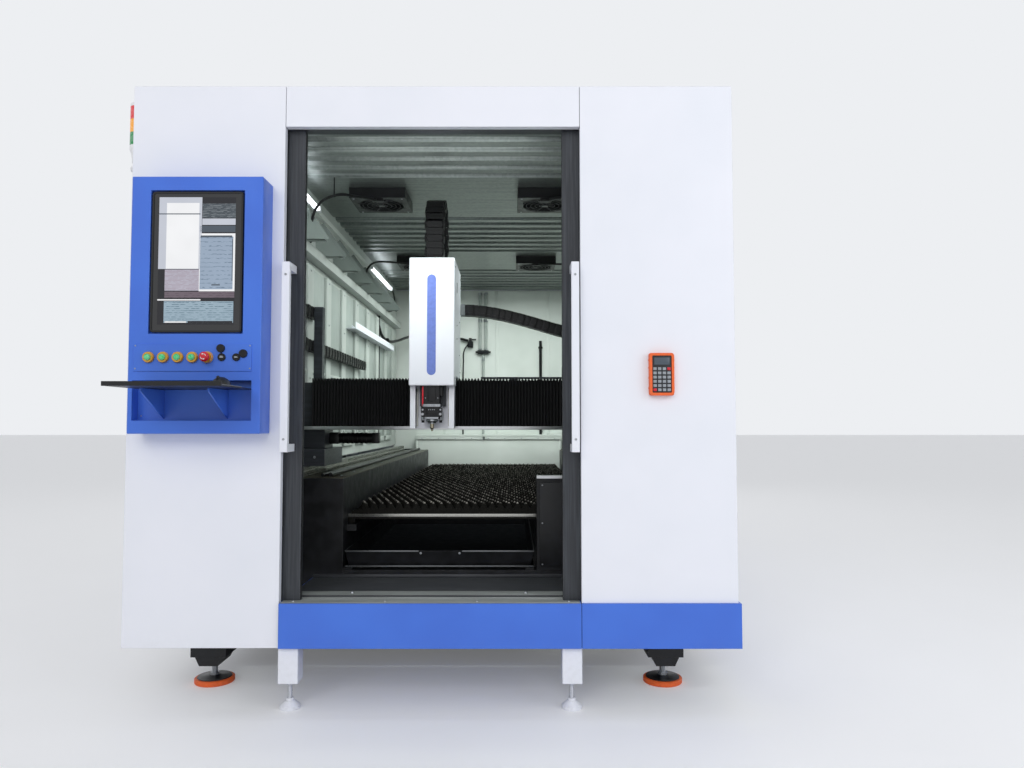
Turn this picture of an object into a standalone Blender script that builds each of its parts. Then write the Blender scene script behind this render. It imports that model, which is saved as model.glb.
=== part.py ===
# Enclosed flat-bed fibre laser cutting machine, modelled at real size.
# Metres, +Z up, X across the front, +Y from the doorway to the back of the machine.
# Places are written from the front plane (y = 0) and the middle of the doorway (x = 0).
# One empty at the end moves the whole machine so that its box stands centred on the origin.

import bpy
import bmesh
from math import cos, pi, radians, sin
from mathutils import Matrix, Vector

# Driving dimensions of the enclosure
CABINET_WIDTH = 2.40
CABINET_LENGTH = 4.45
CABINET_TOP = 2.47
PANEL_BOTTOM = 0.245
SKIRT_TOP = 0.417
SIDE_PANEL_WIDTH = 0.61
HEADER_HEIGHT = 0.165
ROOF_THICKNESS = 0.030
CEILING_DROP = 0.040
LASER_BAY_WIDTH = 0.40
PANEL_DEPTH = 0.030
SHEET = 0.003
SEAT_GAP = 0.0003
PANEL_SEAM = 0.002
CUT_OVERRUN = 0.010
EDGE_ROUND = 0.006

# Driving dimensions of the bed, the gantry and the head at rest
BED_FROM_RIGHT = 0.10
BED_BEAM_WIDTH = 0.34
BED_FRONT = 0.54
BED_BACK = 4.15
BED_TOP = 0.86
BED_FOOT_FROM_SIDE = 0.23
BED_FOOT_FRONT_Y = 0.36
BED_FOOT_BACK_Y = 3.95
GANTRY_FRONT = 0.93
BEAM_DEPTH = 0.20
BEAM_BOTTOM = 1.10
BEAM_TOP = 1.325
HEAD_X = -0.08
HEAD_WIDTH = 0.226

# Driving dimensions of the operator's console
CONSOLE_FROM_SIDE = 0.06
CONSOLE_FROM_TOP = 1.393
CONSOLE_WIDTH = 0.504
CONSOLE_HEIGHT = 0.987
CONSOLE_DEPTH = 0.12

HALF_WIDTH = CABINET_WIDTH / 2
HALF_DOORWAY = HALF_WIDTH - SIDE_PANEL_WIDTH
DOORWAY_TOP = CABINET_TOP - HEADER_HEIGHT
WALL_TOP = CABINET_TOP - ROOF_THICKNESS
CEILING_BOTTOM = WALL_TOP - CEILING_DROP
CONSOLE_LEFT = -HALF_WIDTH + CONSOLE_FROM_SIDE
CONSOLE_BOTTOM = CABINET_TOP - CONSOLE_FROM_TOP
BED_LEFT = -HALF_WIDTH + LASER_BAY_WIDTH
BED_RIGHT = HALF_WIDTH - BED_FROM_RIGHT
BED_FOOT_X = HALF_WIDTH - BED_FOOT_FROM_SIDE
INNER_LEFT = BED_LEFT
BED_INNER_LEFT = BED_LEFT + BED_BEAM_WIDTH
BED_INNER_RIGHT = BED_RIGHT - BED_BEAM_WIDTH

ROUND_SIDES = 20
DISC_SIDES = 16
PAD_SIDES = 24
SMOOTH_ANGLE = radians(35)
MERGE = 0.00002

for old in list(bpy.data.objects):
    bpy.data.objects.remove(old, do_unlink=True)
machine = bpy.data.collections.new("laser_cutting_machine")
bpy.context.scene.collection.children.link(machine)


def paint(name, colour, roughness, metallic=0.0):
    material = bpy.data.materials.new(name)
    material.use_nodes = True
    shader = material.node_tree.nodes["Principled BSDF"]
    shader.inputs["Base Color"].default_value = (*colour, 1.0)
    shader.inputs["Roughness"].default_value = roughness
    shader.inputs["Metallic"].default_value = metallic
    return material


white_paint = paint("white_paint", (0.80, 0.81, 0.85), 0.35)
blue_paint = paint("blue_paint", (0.08, 0.16, 0.66), 0.35)
grey_paint = paint("grey_paint", (0.48, 0.52, 0.51), 0.45)
black_paint = paint("black_paint", (0.012, 0.012, 0.014), 0.5)
graphite_steel = paint("graphite_steel", (0.05, 0.055, 0.06), 0.4, 0.6)
bright_steel = paint("bright_steel", (0.55, 0.55, 0.55), 0.3, 1.0)
slat_steel = paint("slat_steel", (0.20, 0.19, 0.17), 0.5, 1.0)
bellows_cloth = paint("bellows_cloth", (0.008, 0.008, 0.009), 0.7)
chain_plastic = paint("chain_plastic", (0.012, 0.012, 0.012), 0.5)
green_plastic = paint("green_plastic", (0.02, 0.42, 0.16), 0.3)
red_plastic = paint("red_plastic", (0.65, 0.02, 0.03), 0.3)
yellow_plastic = paint("yellow_plastic", (0.85, 0.52, 0.05), 0.4)
screen_glass = paint("screen_glass", (0.01, 0.01, 0.012), 0.1)
orange_rubber = paint("orange_rubber", (0.75, 0.22, 0.04), 0.5)
window_glass = paint("window_glass", (0.05, 0.12, 0.06), 0.1)


def add_mesh(name, mesh, material, location=(0, 0, 0)):
    thing = bpy.data.objects.new(name, mesh)
    thing.location = location
    thing.data.materials.clear()
    thing.data.materials.append(material)
    machine.objects.link(thing)
    return thing


def shade(thing):
    thing.data.shade_smooth()
    thing.data.set_sharp_from_angle(angle=SMOOTH_ANGLE)
    return thing


def apply_modifiers(thing):
    bpy.context.view_layer.update()
    graph = bpy.context.evaluated_depsgraph_get()
    done = bpy.data.meshes.new_from_object(thing.evaluated_get(graph))
    thing.modifiers.clear()
    thing.data = done
    return thing


def box(name, x, y, z, material, rounding=0, segments=1):
    """A block between two X, two Y and two Z values, with its origin in its middle."""
    low = Vector((x[0], y[0], z[0]))
    high = Vector((x[1], y[1], z[1]))
    work = bmesh.new()
    bmesh.ops.create_cube(work, size=1, matrix=Matrix.Diagonal((*(high - low), 1)))
    mesh = bpy.data.meshes.new(name)
    work.to_mesh(mesh)
    work.free()
    thing = add_mesh(name, mesh, material, (low + high) / 2)
    if rounding:
        bevel = thing.modifiers.new("rounded_edges", "BEVEL")
        bevel.width = rounding
        bevel.segments = segments
        apply_modifiers(thing)
    return thing


AXIS_TURNS = {
    "X": Matrix(((0, 0, 1), (1, 0, 0), (0, 1, 0))),
    "Y": Matrix(((1, 0, 0), (0, 0, -1), (0, 1, 0))),
    "Z": Matrix.Identity(3),
}


def prism(name, outline, axis, span, material):
    """A flat outline run along an axis: (y, z) points for X, (x, z) for Y, (x, y) for Z."""
    curve = bpy.data.curves.new(name, "CURVE")
    curve.dimensions = "2D"
    curve.fill_mode = "BOTH"
    curve.extrude = (span[1] - span[0]) / 2
    line = curve.splines.new("POLY")
    line.points.add(len(outline) - 1)
    for point, (across, along) in zip(line.points, outline):
        point.co = (across, along, 0, 1)
    line.use_cyclic_u = True
    guide = bpy.data.objects.new(name + "_outline", curve)
    machine.objects.link(guide)
    bpy.context.view_layer.update()
    graph = bpy.context.evaluated_depsgraph_get()
    mesh = bpy.data.meshes.new_from_object(guide.evaluated_get(graph))
    bpy.data.objects.remove(guide, do_unlink=True)
    middle = (span[0] + span[1]) / 2
    place = {"X": (middle, 0, 0), "Y": (0, middle, 0), "Z": (0, 0, middle)}[axis]
    mesh.transform(AXIS_TURNS[axis].to_4x4())
    weld(mesh)
    return add_mesh(name, mesh, material, place)


def weld(mesh):
    work = bmesh.new()
    work.from_mesh(mesh)
    bmesh.ops.remove_doubles(work, verts=work.verts, dist=MERGE)
    bmesh.ops.recalc_face_normals(work, faces=work.faces)
    work.to_mesh(mesh)
    work.free()


def turned(name, profile, centre, axis, material, sides=ROUND_SIDES):
    """A shape turned about an axis from (radius, height) points that run from top to bottom."""
    mesh = bpy.data.meshes.new(name)
    work = bmesh.new()
    corners = [work.verts.new((radius, 0, height)) for radius, height in profile]
    for first, second in zip(corners, corners[1:]):
        work.edges.new((first, second))
    work.to_mesh(mesh)
    work.free()
    thing = add_mesh(name, mesh, material, centre)
    screw = thing.modifiers.new("turned", "SCREW")
    screw.steps = sides
    screw.render_steps = sides
    screw.use_merge_vertices = True
    screw.merge_threshold = MERGE
    apply_modifiers(thing)
    turn = {"X": Matrix.Rotation(pi / 2, 4, "Y"), "Y": Matrix.Rotation(pi / 2, 4, "X"), "Z": Matrix()}[axis]
    thing.data.transform(turn)
    weld(thing.data)
    thing.data.materials.clear()
    thing.data.materials.append(material)
    return shade(thing)


def rod(name, centre, radius, length, axis, material, sides=ROUND_SIDES):
    """A plain cylinder whose near end is at the centre given: its top on Z, its front on Y."""
    return turned(name, [(0, 0), (radius, 0), (radius, -length), (0, -length)], centre, axis, material, sides)


def boolean(thing, others, operation):
    for number, other in enumerate(others):
        step = thing.modifiers.new(f"{operation.lower()}_{number}", "BOOLEAN")
        step.operation = operation
        step.object = other
    apply_modifiers(thing)
    weld(thing.data)
    for other in others:
        bpy.data.objects.remove(other, do_unlink=True)
    return thing


def unite(thing, *others):
    material = thing.data.materials[0]
    boolean(thing, others, "UNION")
    thing.data.materials.clear()
    thing.data.materials.append(material)
    for face in thing.data.polygons:
        face.material_index = 0
    return thing


def cut(thing, *cutters):
    material = thing.data.materials[0]
    boolean(thing, cutters, "DIFFERENCE")
    thing.data.materials.clear()
    thing.data.materials.append(material)
    for face in thing.data.polygons:
        face.material_index = 0
    return thing


def folded_panel(name, x, z, y_face, depth, material, facing=-1, sheet=SHEET):
    """Sheet metal folded back on all four edges, open behind. It faces -Y, or +Y with facing 1."""
    y_back = y_face - facing * depth
    ends = (min(y_face, y_back), max(y_face, y_back))
    pan = box(name, x, ends, z, material)
    hollow_front = y_face - facing * sheet
    hollow_back = y_back - facing * CUT_OVERRUN
    hollow = box(
        name + "_hollow",
        (x[0] + sheet, x[1] - sheet),
        (min(hollow_front, hollow_back), max(hollow_front, hollow_back)),
        (z[0] + sheet, z[1] - sheet),
        material,
    )
    return cut(pan, hollow)


# Enclosure: the front panels, the skirt, the sill, the walls and the roof

SKIRT_PROUD = 0.010
SILL_SHELF_DEPTH = BED_FRONT - 0.04
SILL_FLANGE_DEPTH = 0.11
WALL_FRONT = PANEL_DEPTH + SEAT_GAP
WALL_BACK = CABINET_LENGTH - PANEL_DEPTH - SEAT_GAP
CABINET_FLOOR_REACH = 0.36
ROOF_BOTTOM = WALL_TOP + SEAT_GAP


def front_panels():
    folded_panel(
        "front_panel_left",
        (-HALF_WIDTH, -HALF_DOORWAY),
        (PANEL_BOTTOM, CABINET_TOP),
        0,
        PANEL_DEPTH,
        white_paint,
    )
    folded_panel(
        "front_panel_right",
        (HALF_DOORWAY, HALF_WIDTH),
        (SKIRT_TOP + SEAT_GAP, CABINET_TOP),
        0,
        PANEL_DEPTH,
        white_paint,
    )
    folded_panel(
        "header_panel",
        (-HALF_DOORWAY + PANEL_SEAM, HALF_DOORWAY - PANEL_SEAM),
        (DOORWAY_TOP, CABINET_TOP),
        0,
        PANEL_DEPTH,
        white_paint,
    )


def skirt_right():
    """One folded sheet that runs along the front under the right panel and back along the side."""
    left = HALF_DOORWAY
    right = HALF_WIDTH + SKIRT_PROUD
    back = WALL_BACK
    thick = PANEL_DEPTH - SKIRT_PROUD
    outline = [
        (left, -SKIRT_PROUD),
        (right, -SKIRT_PROUD),
        (right, back),
        (right - thick, back),
        (right - thick, thick),
        (left, thick),
    ]
    return prism("skirt_right", outline, "Z", (PANEL_BOTTOM, SKIRT_TOP), blue_paint)


def front_sill():
    """A channel under the doorway: a blue face, a shelf that reaches in, and a lower flange."""
    outline = [
        (-SKIRT_PROUD, PANEL_BOTTOM),
        (SILL_FLANGE_DEPTH, PANEL_BOTTOM),
        (SILL_FLANGE_DEPTH, PANEL_BOTTOM + SHEET),
        (SHEET - SKIRT_PROUD, PANEL_BOTTOM + SHEET),
        (SHEET - SKIRT_PROUD, SKIRT_TOP - SHEET),
        (SILL_SHELF_DEPTH, SKIRT_TOP - SHEET),
        (SILL_SHELF_DEPTH, SKIRT_TOP),
        (-SKIRT_PROUD, SKIRT_TOP),
    ]
    span = (-HALF_DOORWAY + PANEL_SEAM, HALF_DOORWAY - PANEL_SEAM)
    return prism("front_sill", outline, "X", span, blue_paint)


def side_walls():
    """The left wall turns in at the bottom as the floor of the laser cabinet."""
    left = -HALF_WIDTH
    outline = [
        (left, PANEL_BOTTOM),
        (left + CABINET_FLOOR_REACH, PANEL_BOTTOM),
        (left + CABINET_FLOOR_REACH, PANEL_BOTTOM + SHEET),
        (left + PANEL_DEPTH, PANEL_BOTTOM + SHEET),
        (left + PANEL_DEPTH, WALL_TOP),
        (left, WALL_TOP),
    ]
    prism("side_wall_left", outline, "Y", (WALL_FRONT, WALL_BACK), white_paint)
    box(
        "side_wall_right",
        (HALF_WIDTH - PANEL_DEPTH, HALF_WIDTH),
        (WALL_FRONT, WALL_BACK),
        (SKIRT_TOP + SEAT_GAP, WALL_TOP),
        white_paint,
    )


VENT_WIDTH = 0.30
VENT_SLOT = 0.012
VENT_PITCH = 0.030
VENT_SLOTS = 9
VENT_DROP = 0.69
VENT_BOTTOM = WALL_TOP - VENT_DROP
VENT_FROM_SIDE = 0.48
VENT_X = HALF_WIDTH - VENT_FROM_SIDE


def rear_wall():
    wall = folded_panel(
        "rear_wall",
        (-HALF_WIDTH, HALF_WIDTH),
        (PANEL_BOTTOM, WALL_TOP),
        CABINET_LENGTH,
        PANEL_DEPTH,
        white_paint,
        facing=1,
    )
    slots = []
    for side in (-VENT_X, VENT_X):
        for row in range(VENT_SLOTS):
            low = VENT_BOTTOM + row * VENT_PITCH
            slots.append(
                box(
                    "slot",
                    (side - VENT_WIDTH / 2, side + VENT_WIDTH / 2),
                    (CABINET_LENGTH - SHEET - CUT_OVERRUN, CABINET_LENGTH + CUT_OVERRUN),
                    (low, low + VENT_SLOT),
                    white_paint,
                )
            )
    return cut(wall, *slots)


RIB_DEPTH = 0.018
RIB_PITCH = 0.13
RIB_SLOPE = 0.014
RIB_FLAT = 0.045
RIB_ZONE_STARTS = (0.22, 1.72, 3.38)
RIBS_PER_ZONE = (6, 8, 7)
CEILING_BACK = 4.37
CEILING_FRONT = 0.12
FAN_FROM_LEFT = 0.38
FAN_FROM_RIGHT = 0.60
FAN_X = (BED_LEFT + FAN_FROM_LEFT, BED_RIGHT - FAN_FROM_RIGHT)
FAN_Y = (1.26, 3.00)
FAN_FRAME = 0.30
FAN_FRAME_HEIGHT = 0.055
FAN_WELL_RADIUS = 0.125
FAN_SHAFT_RADIUS = 0.010
FAN_SHAFT_LENGTH = 0.012
FAN_HUB_RADIUS = 0.035
FAN_HUB_HEIGHT = 0.026
FAN_TIP_RADIUS = 0.118
FAN_BLADES = 5
HUB_SIDES = 12
BLADE_THICKNESS = 0.003
BLADE_CHORD = 0.062
BLADE_PITCH = radians(26)


def roof():
    """A flat top sheet over a ribbed ceiling, with the four fan frames that hang from it."""
    top = box(
        "roof",
        (-HALF_WIDTH, HALF_WIDTH),
        (WALL_FRONT, CABINET_LENGTH),
        (ROOF_BOTTOM, CABINET_TOP),
        grey_paint,
    )
    ceiling_top = (ROOF_BOTTOM + CABINET_TOP) / 2
    span = (INNER_LEFT + SEAT_GAP, HALF_WIDTH - PANEL_DEPTH - SEAT_GAP)
    ribbed = box("ceiling", span, (CEILING_FRONT, CEILING_BACK), (CEILING_BOTTOM, ceiling_top), grey_paint)
    widening = RIB_SLOPE * CUT_OVERRUN / RIB_DEPTH
    groove_span = (span[0] - CUT_OVERRUN, span[1] + CUT_OVERRUN)
    grooves = []
    for start, count in zip(RIB_ZONE_STARTS, RIBS_PER_ZONE):
        for rib in range(count):
            y = start + rib * RIB_PITCH
            outline = [
                (y - widening, CEILING_BOTTOM - CUT_OVERRUN),
                (y + RIB_SLOPE, CEILING_BOTTOM + RIB_DEPTH),
                (y + RIB_SLOPE + RIB_FLAT, CEILING_BOTTOM + RIB_DEPTH),
                (y + RIB_SLOPE + RIB_FLAT + RIB_SLOPE + widening, CEILING_BOTTOM - CUT_OVERRUN),
            ]
            grooves.append(prism("groove", outline, "X", groove_span, grey_paint))
    cut(ribbed, *grooves)
    frames = []
    wells = []
    shafts = []
    frame_bottom = CEILING_BOTTOM - FAN_FRAME_HEIGHT
    for x in FAN_X:
        for y in FAN_Y:
            half = FAN_FRAME / 2
            frame_top = CEILING_BOTTOM + RIB_DEPTH / 2
            frames.append(
                box("frame", (x - half, x + half), (y - half, y + half), (frame_bottom, frame_top), grey_paint)
            )
            well_top = (x, y, CEILING_BOTTOM + RIB_DEPTH / 4)
            wells.append(rod("well", well_top, FAN_WELL_RADIUS, FAN_FRAME_HEIGHT + 2 * CUT_OVERRUN, "Z", grey_paint))
            shafts.append(
                rod("shaft", (x, y, frame_top), FAN_SHAFT_RADIUS, RIB_DEPTH / 2 + FAN_SHAFT_LENGTH, "Z", grey_paint)
            )
    unite(top, ribbed, *frames)
    cut(top, *wells)
    unite(top, *shafts)
    return top


def fan_rotors():
    """A hub with pitched blades, which hangs under the shaft of each ceiling fan."""
    names = iter(("fan_rotor_left_front", "fan_rotor_left_back", "fan_rotor_right_front", "fan_rotor_right_back"))
    hub_top = CEILING_BOTTOM - FAN_SHAFT_LENGTH - SEAT_GAP
    for x in FAN_X:
        for y in FAN_Y:
            name = next(names)
            hub = rod(name, (x, y, hub_top), FAN_HUB_RADIUS, FAN_HUB_HEIGHT, "Z", black_paint, HUB_SIDES)
            blades = []
            reach = FAN_TIP_RADIUS - FAN_HUB_RADIUS / 2
            for number in range(FAN_BLADES):
                blade = box(
                    "blade",
                    (-reach / 2, reach / 2),
                    (-BLADE_CHORD / 2, BLADE_CHORD / 2),
                    (-BLADE_THICKNESS / 2, BLADE_THICKNESS / 2),
                    black_paint,
                )
                angle = 2 * pi * number / FAN_BLADES
                along = FAN_HUB_RADIUS / 2 + reach / 2
                turn = Matrix.Rotation(angle, 4, "Z")
                pitch = Matrix.Rotation(BLADE_PITCH, 4, "X")
                middle = Vector((x, y, hub_top - FAN_HUB_HEIGHT / 2))
                blade.data.transform(turn @ Matrix.Translation((along, 0, 0)) @ pitch)
                blade.location = middle
                blades.append(blade)
            unite(hub, *blades)


INNER_WALL_BOTTOM = 0.90
INNER_WALL_FRONT = 0.16
WALL_RIB_PITCH = 0.42
WALL_RIB_WIDTH = 0.10
WALL_RIB_PROUD = 0.018
WALL_RIBS = 10
WALL_RIB_TOP = WALL_TOP - 0.46
RAIL_HEIGHT = 0.05
RAIL_PROUD = 0.055
RAIL_Z = WALL_TOP - 0.43
LAMP_HEIGHT = 0.030
LAMP_PROUD = 0.035
LAMP_Z = WALL_TOP - 0.155
LAMP_STARTS = (0.20, 2.76)
LAMP_LENGTH = 0.98


def inner_wall():
    """The wall between the cutting cabin and the laser cabinet, with its ribs, rail and lamp bars."""
    x = INNER_LEFT
    wall = box(
        "inner_wall_left",
        (x - PANEL_DEPTH, x),
        (INNER_WALL_FRONT, CEILING_BACK),
        (INNER_WALL_BOTTOM, WALL_TOP),
        grey_paint,
    )
    sunk = x - PANEL_DEPTH / 2
    ribs = []
    for number in range(WALL_RIBS):
        y = INNER_WALL_FRONT + WALL_RIB_WIDTH + number * WALL_RIB_PITCH
        rib = box(
            "rib",
            (sunk, x + WALL_RIB_PROUD),
            (y, y + WALL_RIB_WIDTH),
            (INNER_WALL_BOTTOM + WALL_RIB_WIDTH, WALL_RIB_TOP),
            grey_paint,
        )
        ribs.append(rib)
    rail_span = (INNER_WALL_FRONT + WALL_RIB_WIDTH, CEILING_BACK - WALL_RIB_WIDTH)
    rail = box("rail", (sunk, x + RAIL_PROUD), rail_span, (RAIL_Z, RAIL_Z + RAIL_HEIGHT), grey_paint)
    lamps = []
    for start in LAMP_STARTS:
        span = (start, start + LAMP_LENGTH)
        lamps.append(box("lamp", (sunk, x + LAMP_PROUD), span, (LAMP_Z, LAMP_Z + LAMP_HEIGHT), grey_paint))
    return unite(wall, *ribs, rail, *lamps)


DUCT_FROM_LEFT = 0.21
DUCT_FROM_RIGHT = 0.32
DUCT_LEFT = BED_LEFT + DUCT_FROM_LEFT
DUCT_RIGHT = BED_RIGHT - DUCT_FROM_RIGHT
DUCT_BOTTOM = 0.62
DUCT_TOP = 1.00
DUCT_FRONT = 4.25
DUCT_LIP = 0.020
DUCT_LIP_PROUD = 0.012


def extraction_duct():
    """The fume duct on the rear wall across the far end of the bed, with a lip along its top."""
    back = CABINET_LENGTH - SHEET - SEAT_GAP
    outline = [
        (back, DUCT_BOTTOM),
        (DUCT_FRONT, DUCT_BOTTOM),
        (DUCT_FRONT, DUCT_TOP - DUCT_LIP),
        (DUCT_FRONT - DUCT_LIP_PROUD, DUCT_TOP - DUCT_LIP),
        (DUCT_FRONT - DUCT_LIP_PROUD, DUCT_TOP),
        (back, DUCT_TOP),
    ]
    return prism("extraction_duct", outline, "X", (DUCT_LEFT, DUCT_RIGHT), grey_paint)


LASER_LEFT = -HALF_WIDTH + 0.05
LASER_WIDTH = 0.30
LASER_FRONT = 1.60
LASER_DEPTH = 0.80
LASER_HEIGHT = 0.85


def laser_source():
    floor = PANEL_BOTTOM + SHEET + SEAT_GAP
    return box(
        "laser_source",
        (LASER_LEFT, LASER_LEFT + LASER_WIDTH),
        (LASER_FRONT, LASER_FRONT + LASER_DEPTH),
        (floor, floor + LASER_HEIGHT),
        graphite_steel,
        EDGE_ROUND,
    )


# Supports of the enclosure and of the bed

LEG_SIZE = 0.078
LEG_BOTTOM = 0.103
LEG_FRONT_Y = 0.012
LEG_X = HALF_DOORWAY - 0.035
LEG_REAR_X = HALF_WIDTH - 0.10
STUD_RADIUS = 0.008
NUT_RADIUS = 0.015
NUT_HEIGHT = 0.010
PAD_RADIUS = 0.040
PAD_NECK_RADIUS = 0.018
PAD_RIM = 0.012
PAD_HEIGHT = 0.030


def legs():
    """Square tubes under the corners of the enclosure, each on a screwed levelling foot."""
    front = (LEG_FRONT_Y, LEG_FRONT_Y + LEG_SIZE)
    rear = (CABINET_LENGTH - PANEL_SEAM - LEG_SIZE, CABINET_LENGTH - PANEL_SEAM)
    places = {
        "leg_front_left": (-LEG_X, front),
        "leg_front_right": (LEG_X - PANEL_SEAM, front),
        "leg_rear_left": (-LEG_REAR_X, rear),
        "leg_rear_right": (LEG_REAR_X, rear),
    }
    for name, (x, y) in places.items():
        top = PANEL_BOTTOM - SEAT_GAP
        leg = box(name, (x - LEG_SIZE / 2, x + LEG_SIZE / 2), y, (LEG_BOTTOM, top), white_paint, PANEL_SEAM)
        foot = turned(
            "foot",
            [
                (0, LEG_BOTTOM + NUT_HEIGHT),
                (NUT_RADIUS, LEG_BOTTOM + NUT_HEIGHT),
                (NUT_RADIUS, LEG_BOTTOM - NUT_HEIGHT),
                (STUD_RADIUS, LEG_BOTTOM - NUT_HEIGHT),
                (STUD_RADIUS, PAD_HEIGHT + NUT_HEIGHT),
                (NUT_RADIUS, PAD_HEIGHT + NUT_HEIGHT),
                (NUT_RADIUS, PAD_HEIGHT),
                (PAD_NECK_RADIUS, PAD_HEIGHT),
                (PAD_RADIUS, PAD_RIM),
                (PAD_RADIUS, 0),
                (0, 0),
            ],
            (x, (y[0] + y[1]) / 2, 0),
            "Z",
            bright_steel,
            DISC_SIDES,
        )
        shade(unite(leg, foot))


DISC_RADIUS = 0.083
DISC_RIM_HEIGHT = 0.022
DISC_CONE_HEIGHT = 0.045
DISC_NECK_RADIUS = 0.030
BED_STUD_RADIUS = 0.012
BED_BRACKET_BOTTOM = 0.087


def bed_feet():
    """Anti-vibration discs that carry the bed, each with its stud."""
    places = {
        "bed_foot_front_left": (-BED_FOOT_X, BED_FOOT_FRONT_Y),
        "bed_foot_front_right": (BED_FOOT_X, BED_FOOT_FRONT_Y),
        "bed_foot_rear_left": (-BED_FOOT_X, BED_FOOT_BACK_Y),
        "bed_foot_rear_right": (BED_FOOT_X, BED_FOOT_BACK_Y),
    }
    top = BED_BRACKET_BOTTOM - SEAT_GAP
    profile = [
        (0, top),
        (BED_STUD_RADIUS, top),
        (BED_STUD_RADIUS, DISC_CONE_HEIGHT),
        (DISC_NECK_RADIUS, DISC_CONE_HEIGHT),
        (DISC_RADIUS, DISC_RIM_HEIGHT),
        (DISC_RADIUS, 0),
        (0, 0),
    ]
    for name, (x, y) in places.items():
        turned(name, profile, (x, y, 0), "Z", graphite_steel, PAD_SIDES)


# Bed, its rails, the slat table and the scrap drawer

BASE_BEAM_WIDTH = 0.15
BASE_TOP = 0.238
BASE_BOTTOM = 0.125
BASE_FRONT = 0.28
CROSS_WIDTH = 0.13
CROSS_SPOTS = (0.56, 2.28, 3.95)
FRONT_PLATE_DEPTH = 0.08
FRONT_PLATE_TOP = 0.44
BRACKET_TAPER = 0.035
LEDGE_WIDTH = 0.045
LEDGE_HEIGHT = 0.030
LEDGE_TOP = 0.64
DRAWER_RIGHT = BED_INNER_RIGHT - BED_BEAM_WIDTH
RUNNER_WIDTH = 0.040
RUNNER_TOP = 0.4497
DRAWER_BACK = 2.05
REAR_PLATE_TOP = 0.60


def bed_frame():
    """The welded bed: two side box beams on a ladder of cross beams, with ledges and drawer runners."""
    dark = black_paint
    beams = BED_TOP
    left_beam = box("bed_frame", (BED_LEFT, BED_INNER_LEFT), (BED_FRONT, BED_BACK), (BASE_TOP, beams), dark)
    right_beam = box("beam", (BED_INNER_RIGHT, BED_RIGHT), (BED_FRONT, BED_BACK), (BASE_TOP, beams), dark)
    pieces = [right_beam]
    half = BASE_BEAM_WIDTH / 2
    base_back = BED_FOOT_BACK_Y + BASE_BEAM_WIDTH
    for x in (-BED_FOOT_X, BED_FOOT_X):
        span = (x - half, x + half)
        pieces.append(box("base", span, (BASE_FRONT, base_back), (BASE_BOTTOM, BASE_TOP + SHEET), dark))
        for y in (BED_FOOT_FRONT_Y, BED_FOOT_BACK_Y):
            bracket = [
                (x - half + BRACKET_TAPER, BED_BRACKET_BOTTOM),
                (x + half - BRACKET_TAPER, BED_BRACKET_BOTTOM),
                (x + half, BASE_BOTTOM + BRACKET_TAPER),
                (x - half, BASE_BOTTOM + BRACKET_TAPER),
            ]
            pieces.append(prism("bracket", bracket, "Y", (y - half, y + half), dark))
    for y in CROSS_SPOTS:
        cross_span = (-BED_FOOT_X, BED_FOOT_X)
        cross_top = BASE_TOP + 2 * SHEET
        pieces.append(box("cross", cross_span, (y, y + CROSS_WIDTH), (BASE_BOTTOM + SHEET, cross_top), dark))
    inner = (BED_LEFT + CUT_OVERRUN, BED_RIGHT - CUT_OVERRUN)
    front_span = (BED_FRONT + SHEET, BED_FRONT + FRONT_PLATE_DEPTH)
    pieces.append(box("front", inner, front_span, (BASE_TOP - SHEET, FRONT_PLATE_TOP), dark))
    rear_span = (BED_BACK - FRONT_PLATE_DEPTH, BED_BACK - SHEET)
    pieces.append(box("rear", inner, rear_span, (BASE_TOP - SHEET, REAR_PLATE_TOP), dark))
    ledges = (
        (BED_INNER_LEFT - CUT_OVERRUN, BED_INNER_LEFT + LEDGE_WIDTH),
        (BED_INNER_RIGHT - LEDGE_WIDTH, BED_INNER_RIGHT + CUT_OVERRUN),
    )
    for span in ledges:
        ends = (BED_FRONT + FRONT_PLATE_DEPTH, BED_BACK - CUT_OVERRUN)
        pieces.append(box("ledge", span, ends, (LEDGE_TOP - LEDGE_HEIGHT, LEDGE_TOP), dark))
    runner_back = CROSS_SPOTS[1] + CROSS_WIDTH / 2
    left_runner = (BED_INNER_LEFT - CUT_OVERRUN, BED_INNER_LEFT + RUNNER_WIDTH)
    right_runner = (DRAWER_RIGHT - RUNNER_WIDTH, DRAWER_RIGHT)
    runner_front = BED_FRONT + CUT_OVERRUN
    for span, low in ((left_runner, RUNNER_TOP - RUNNER_WIDTH), (right_runner, BASE_TOP - SHEET)):
        pieces.append(box("runner", span, (runner_front, runner_back), (low, RUNNER_TOP), dark))
    return unite(left_beam, *pieces)


DRAWER_FRONT = 0.565
DRAWER_BOTTOM = 0.45
DRAWER_HEIGHT = 0.075
DRAWER_FLARE = 0.018
DRAWER_SHEET = 0.003


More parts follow.
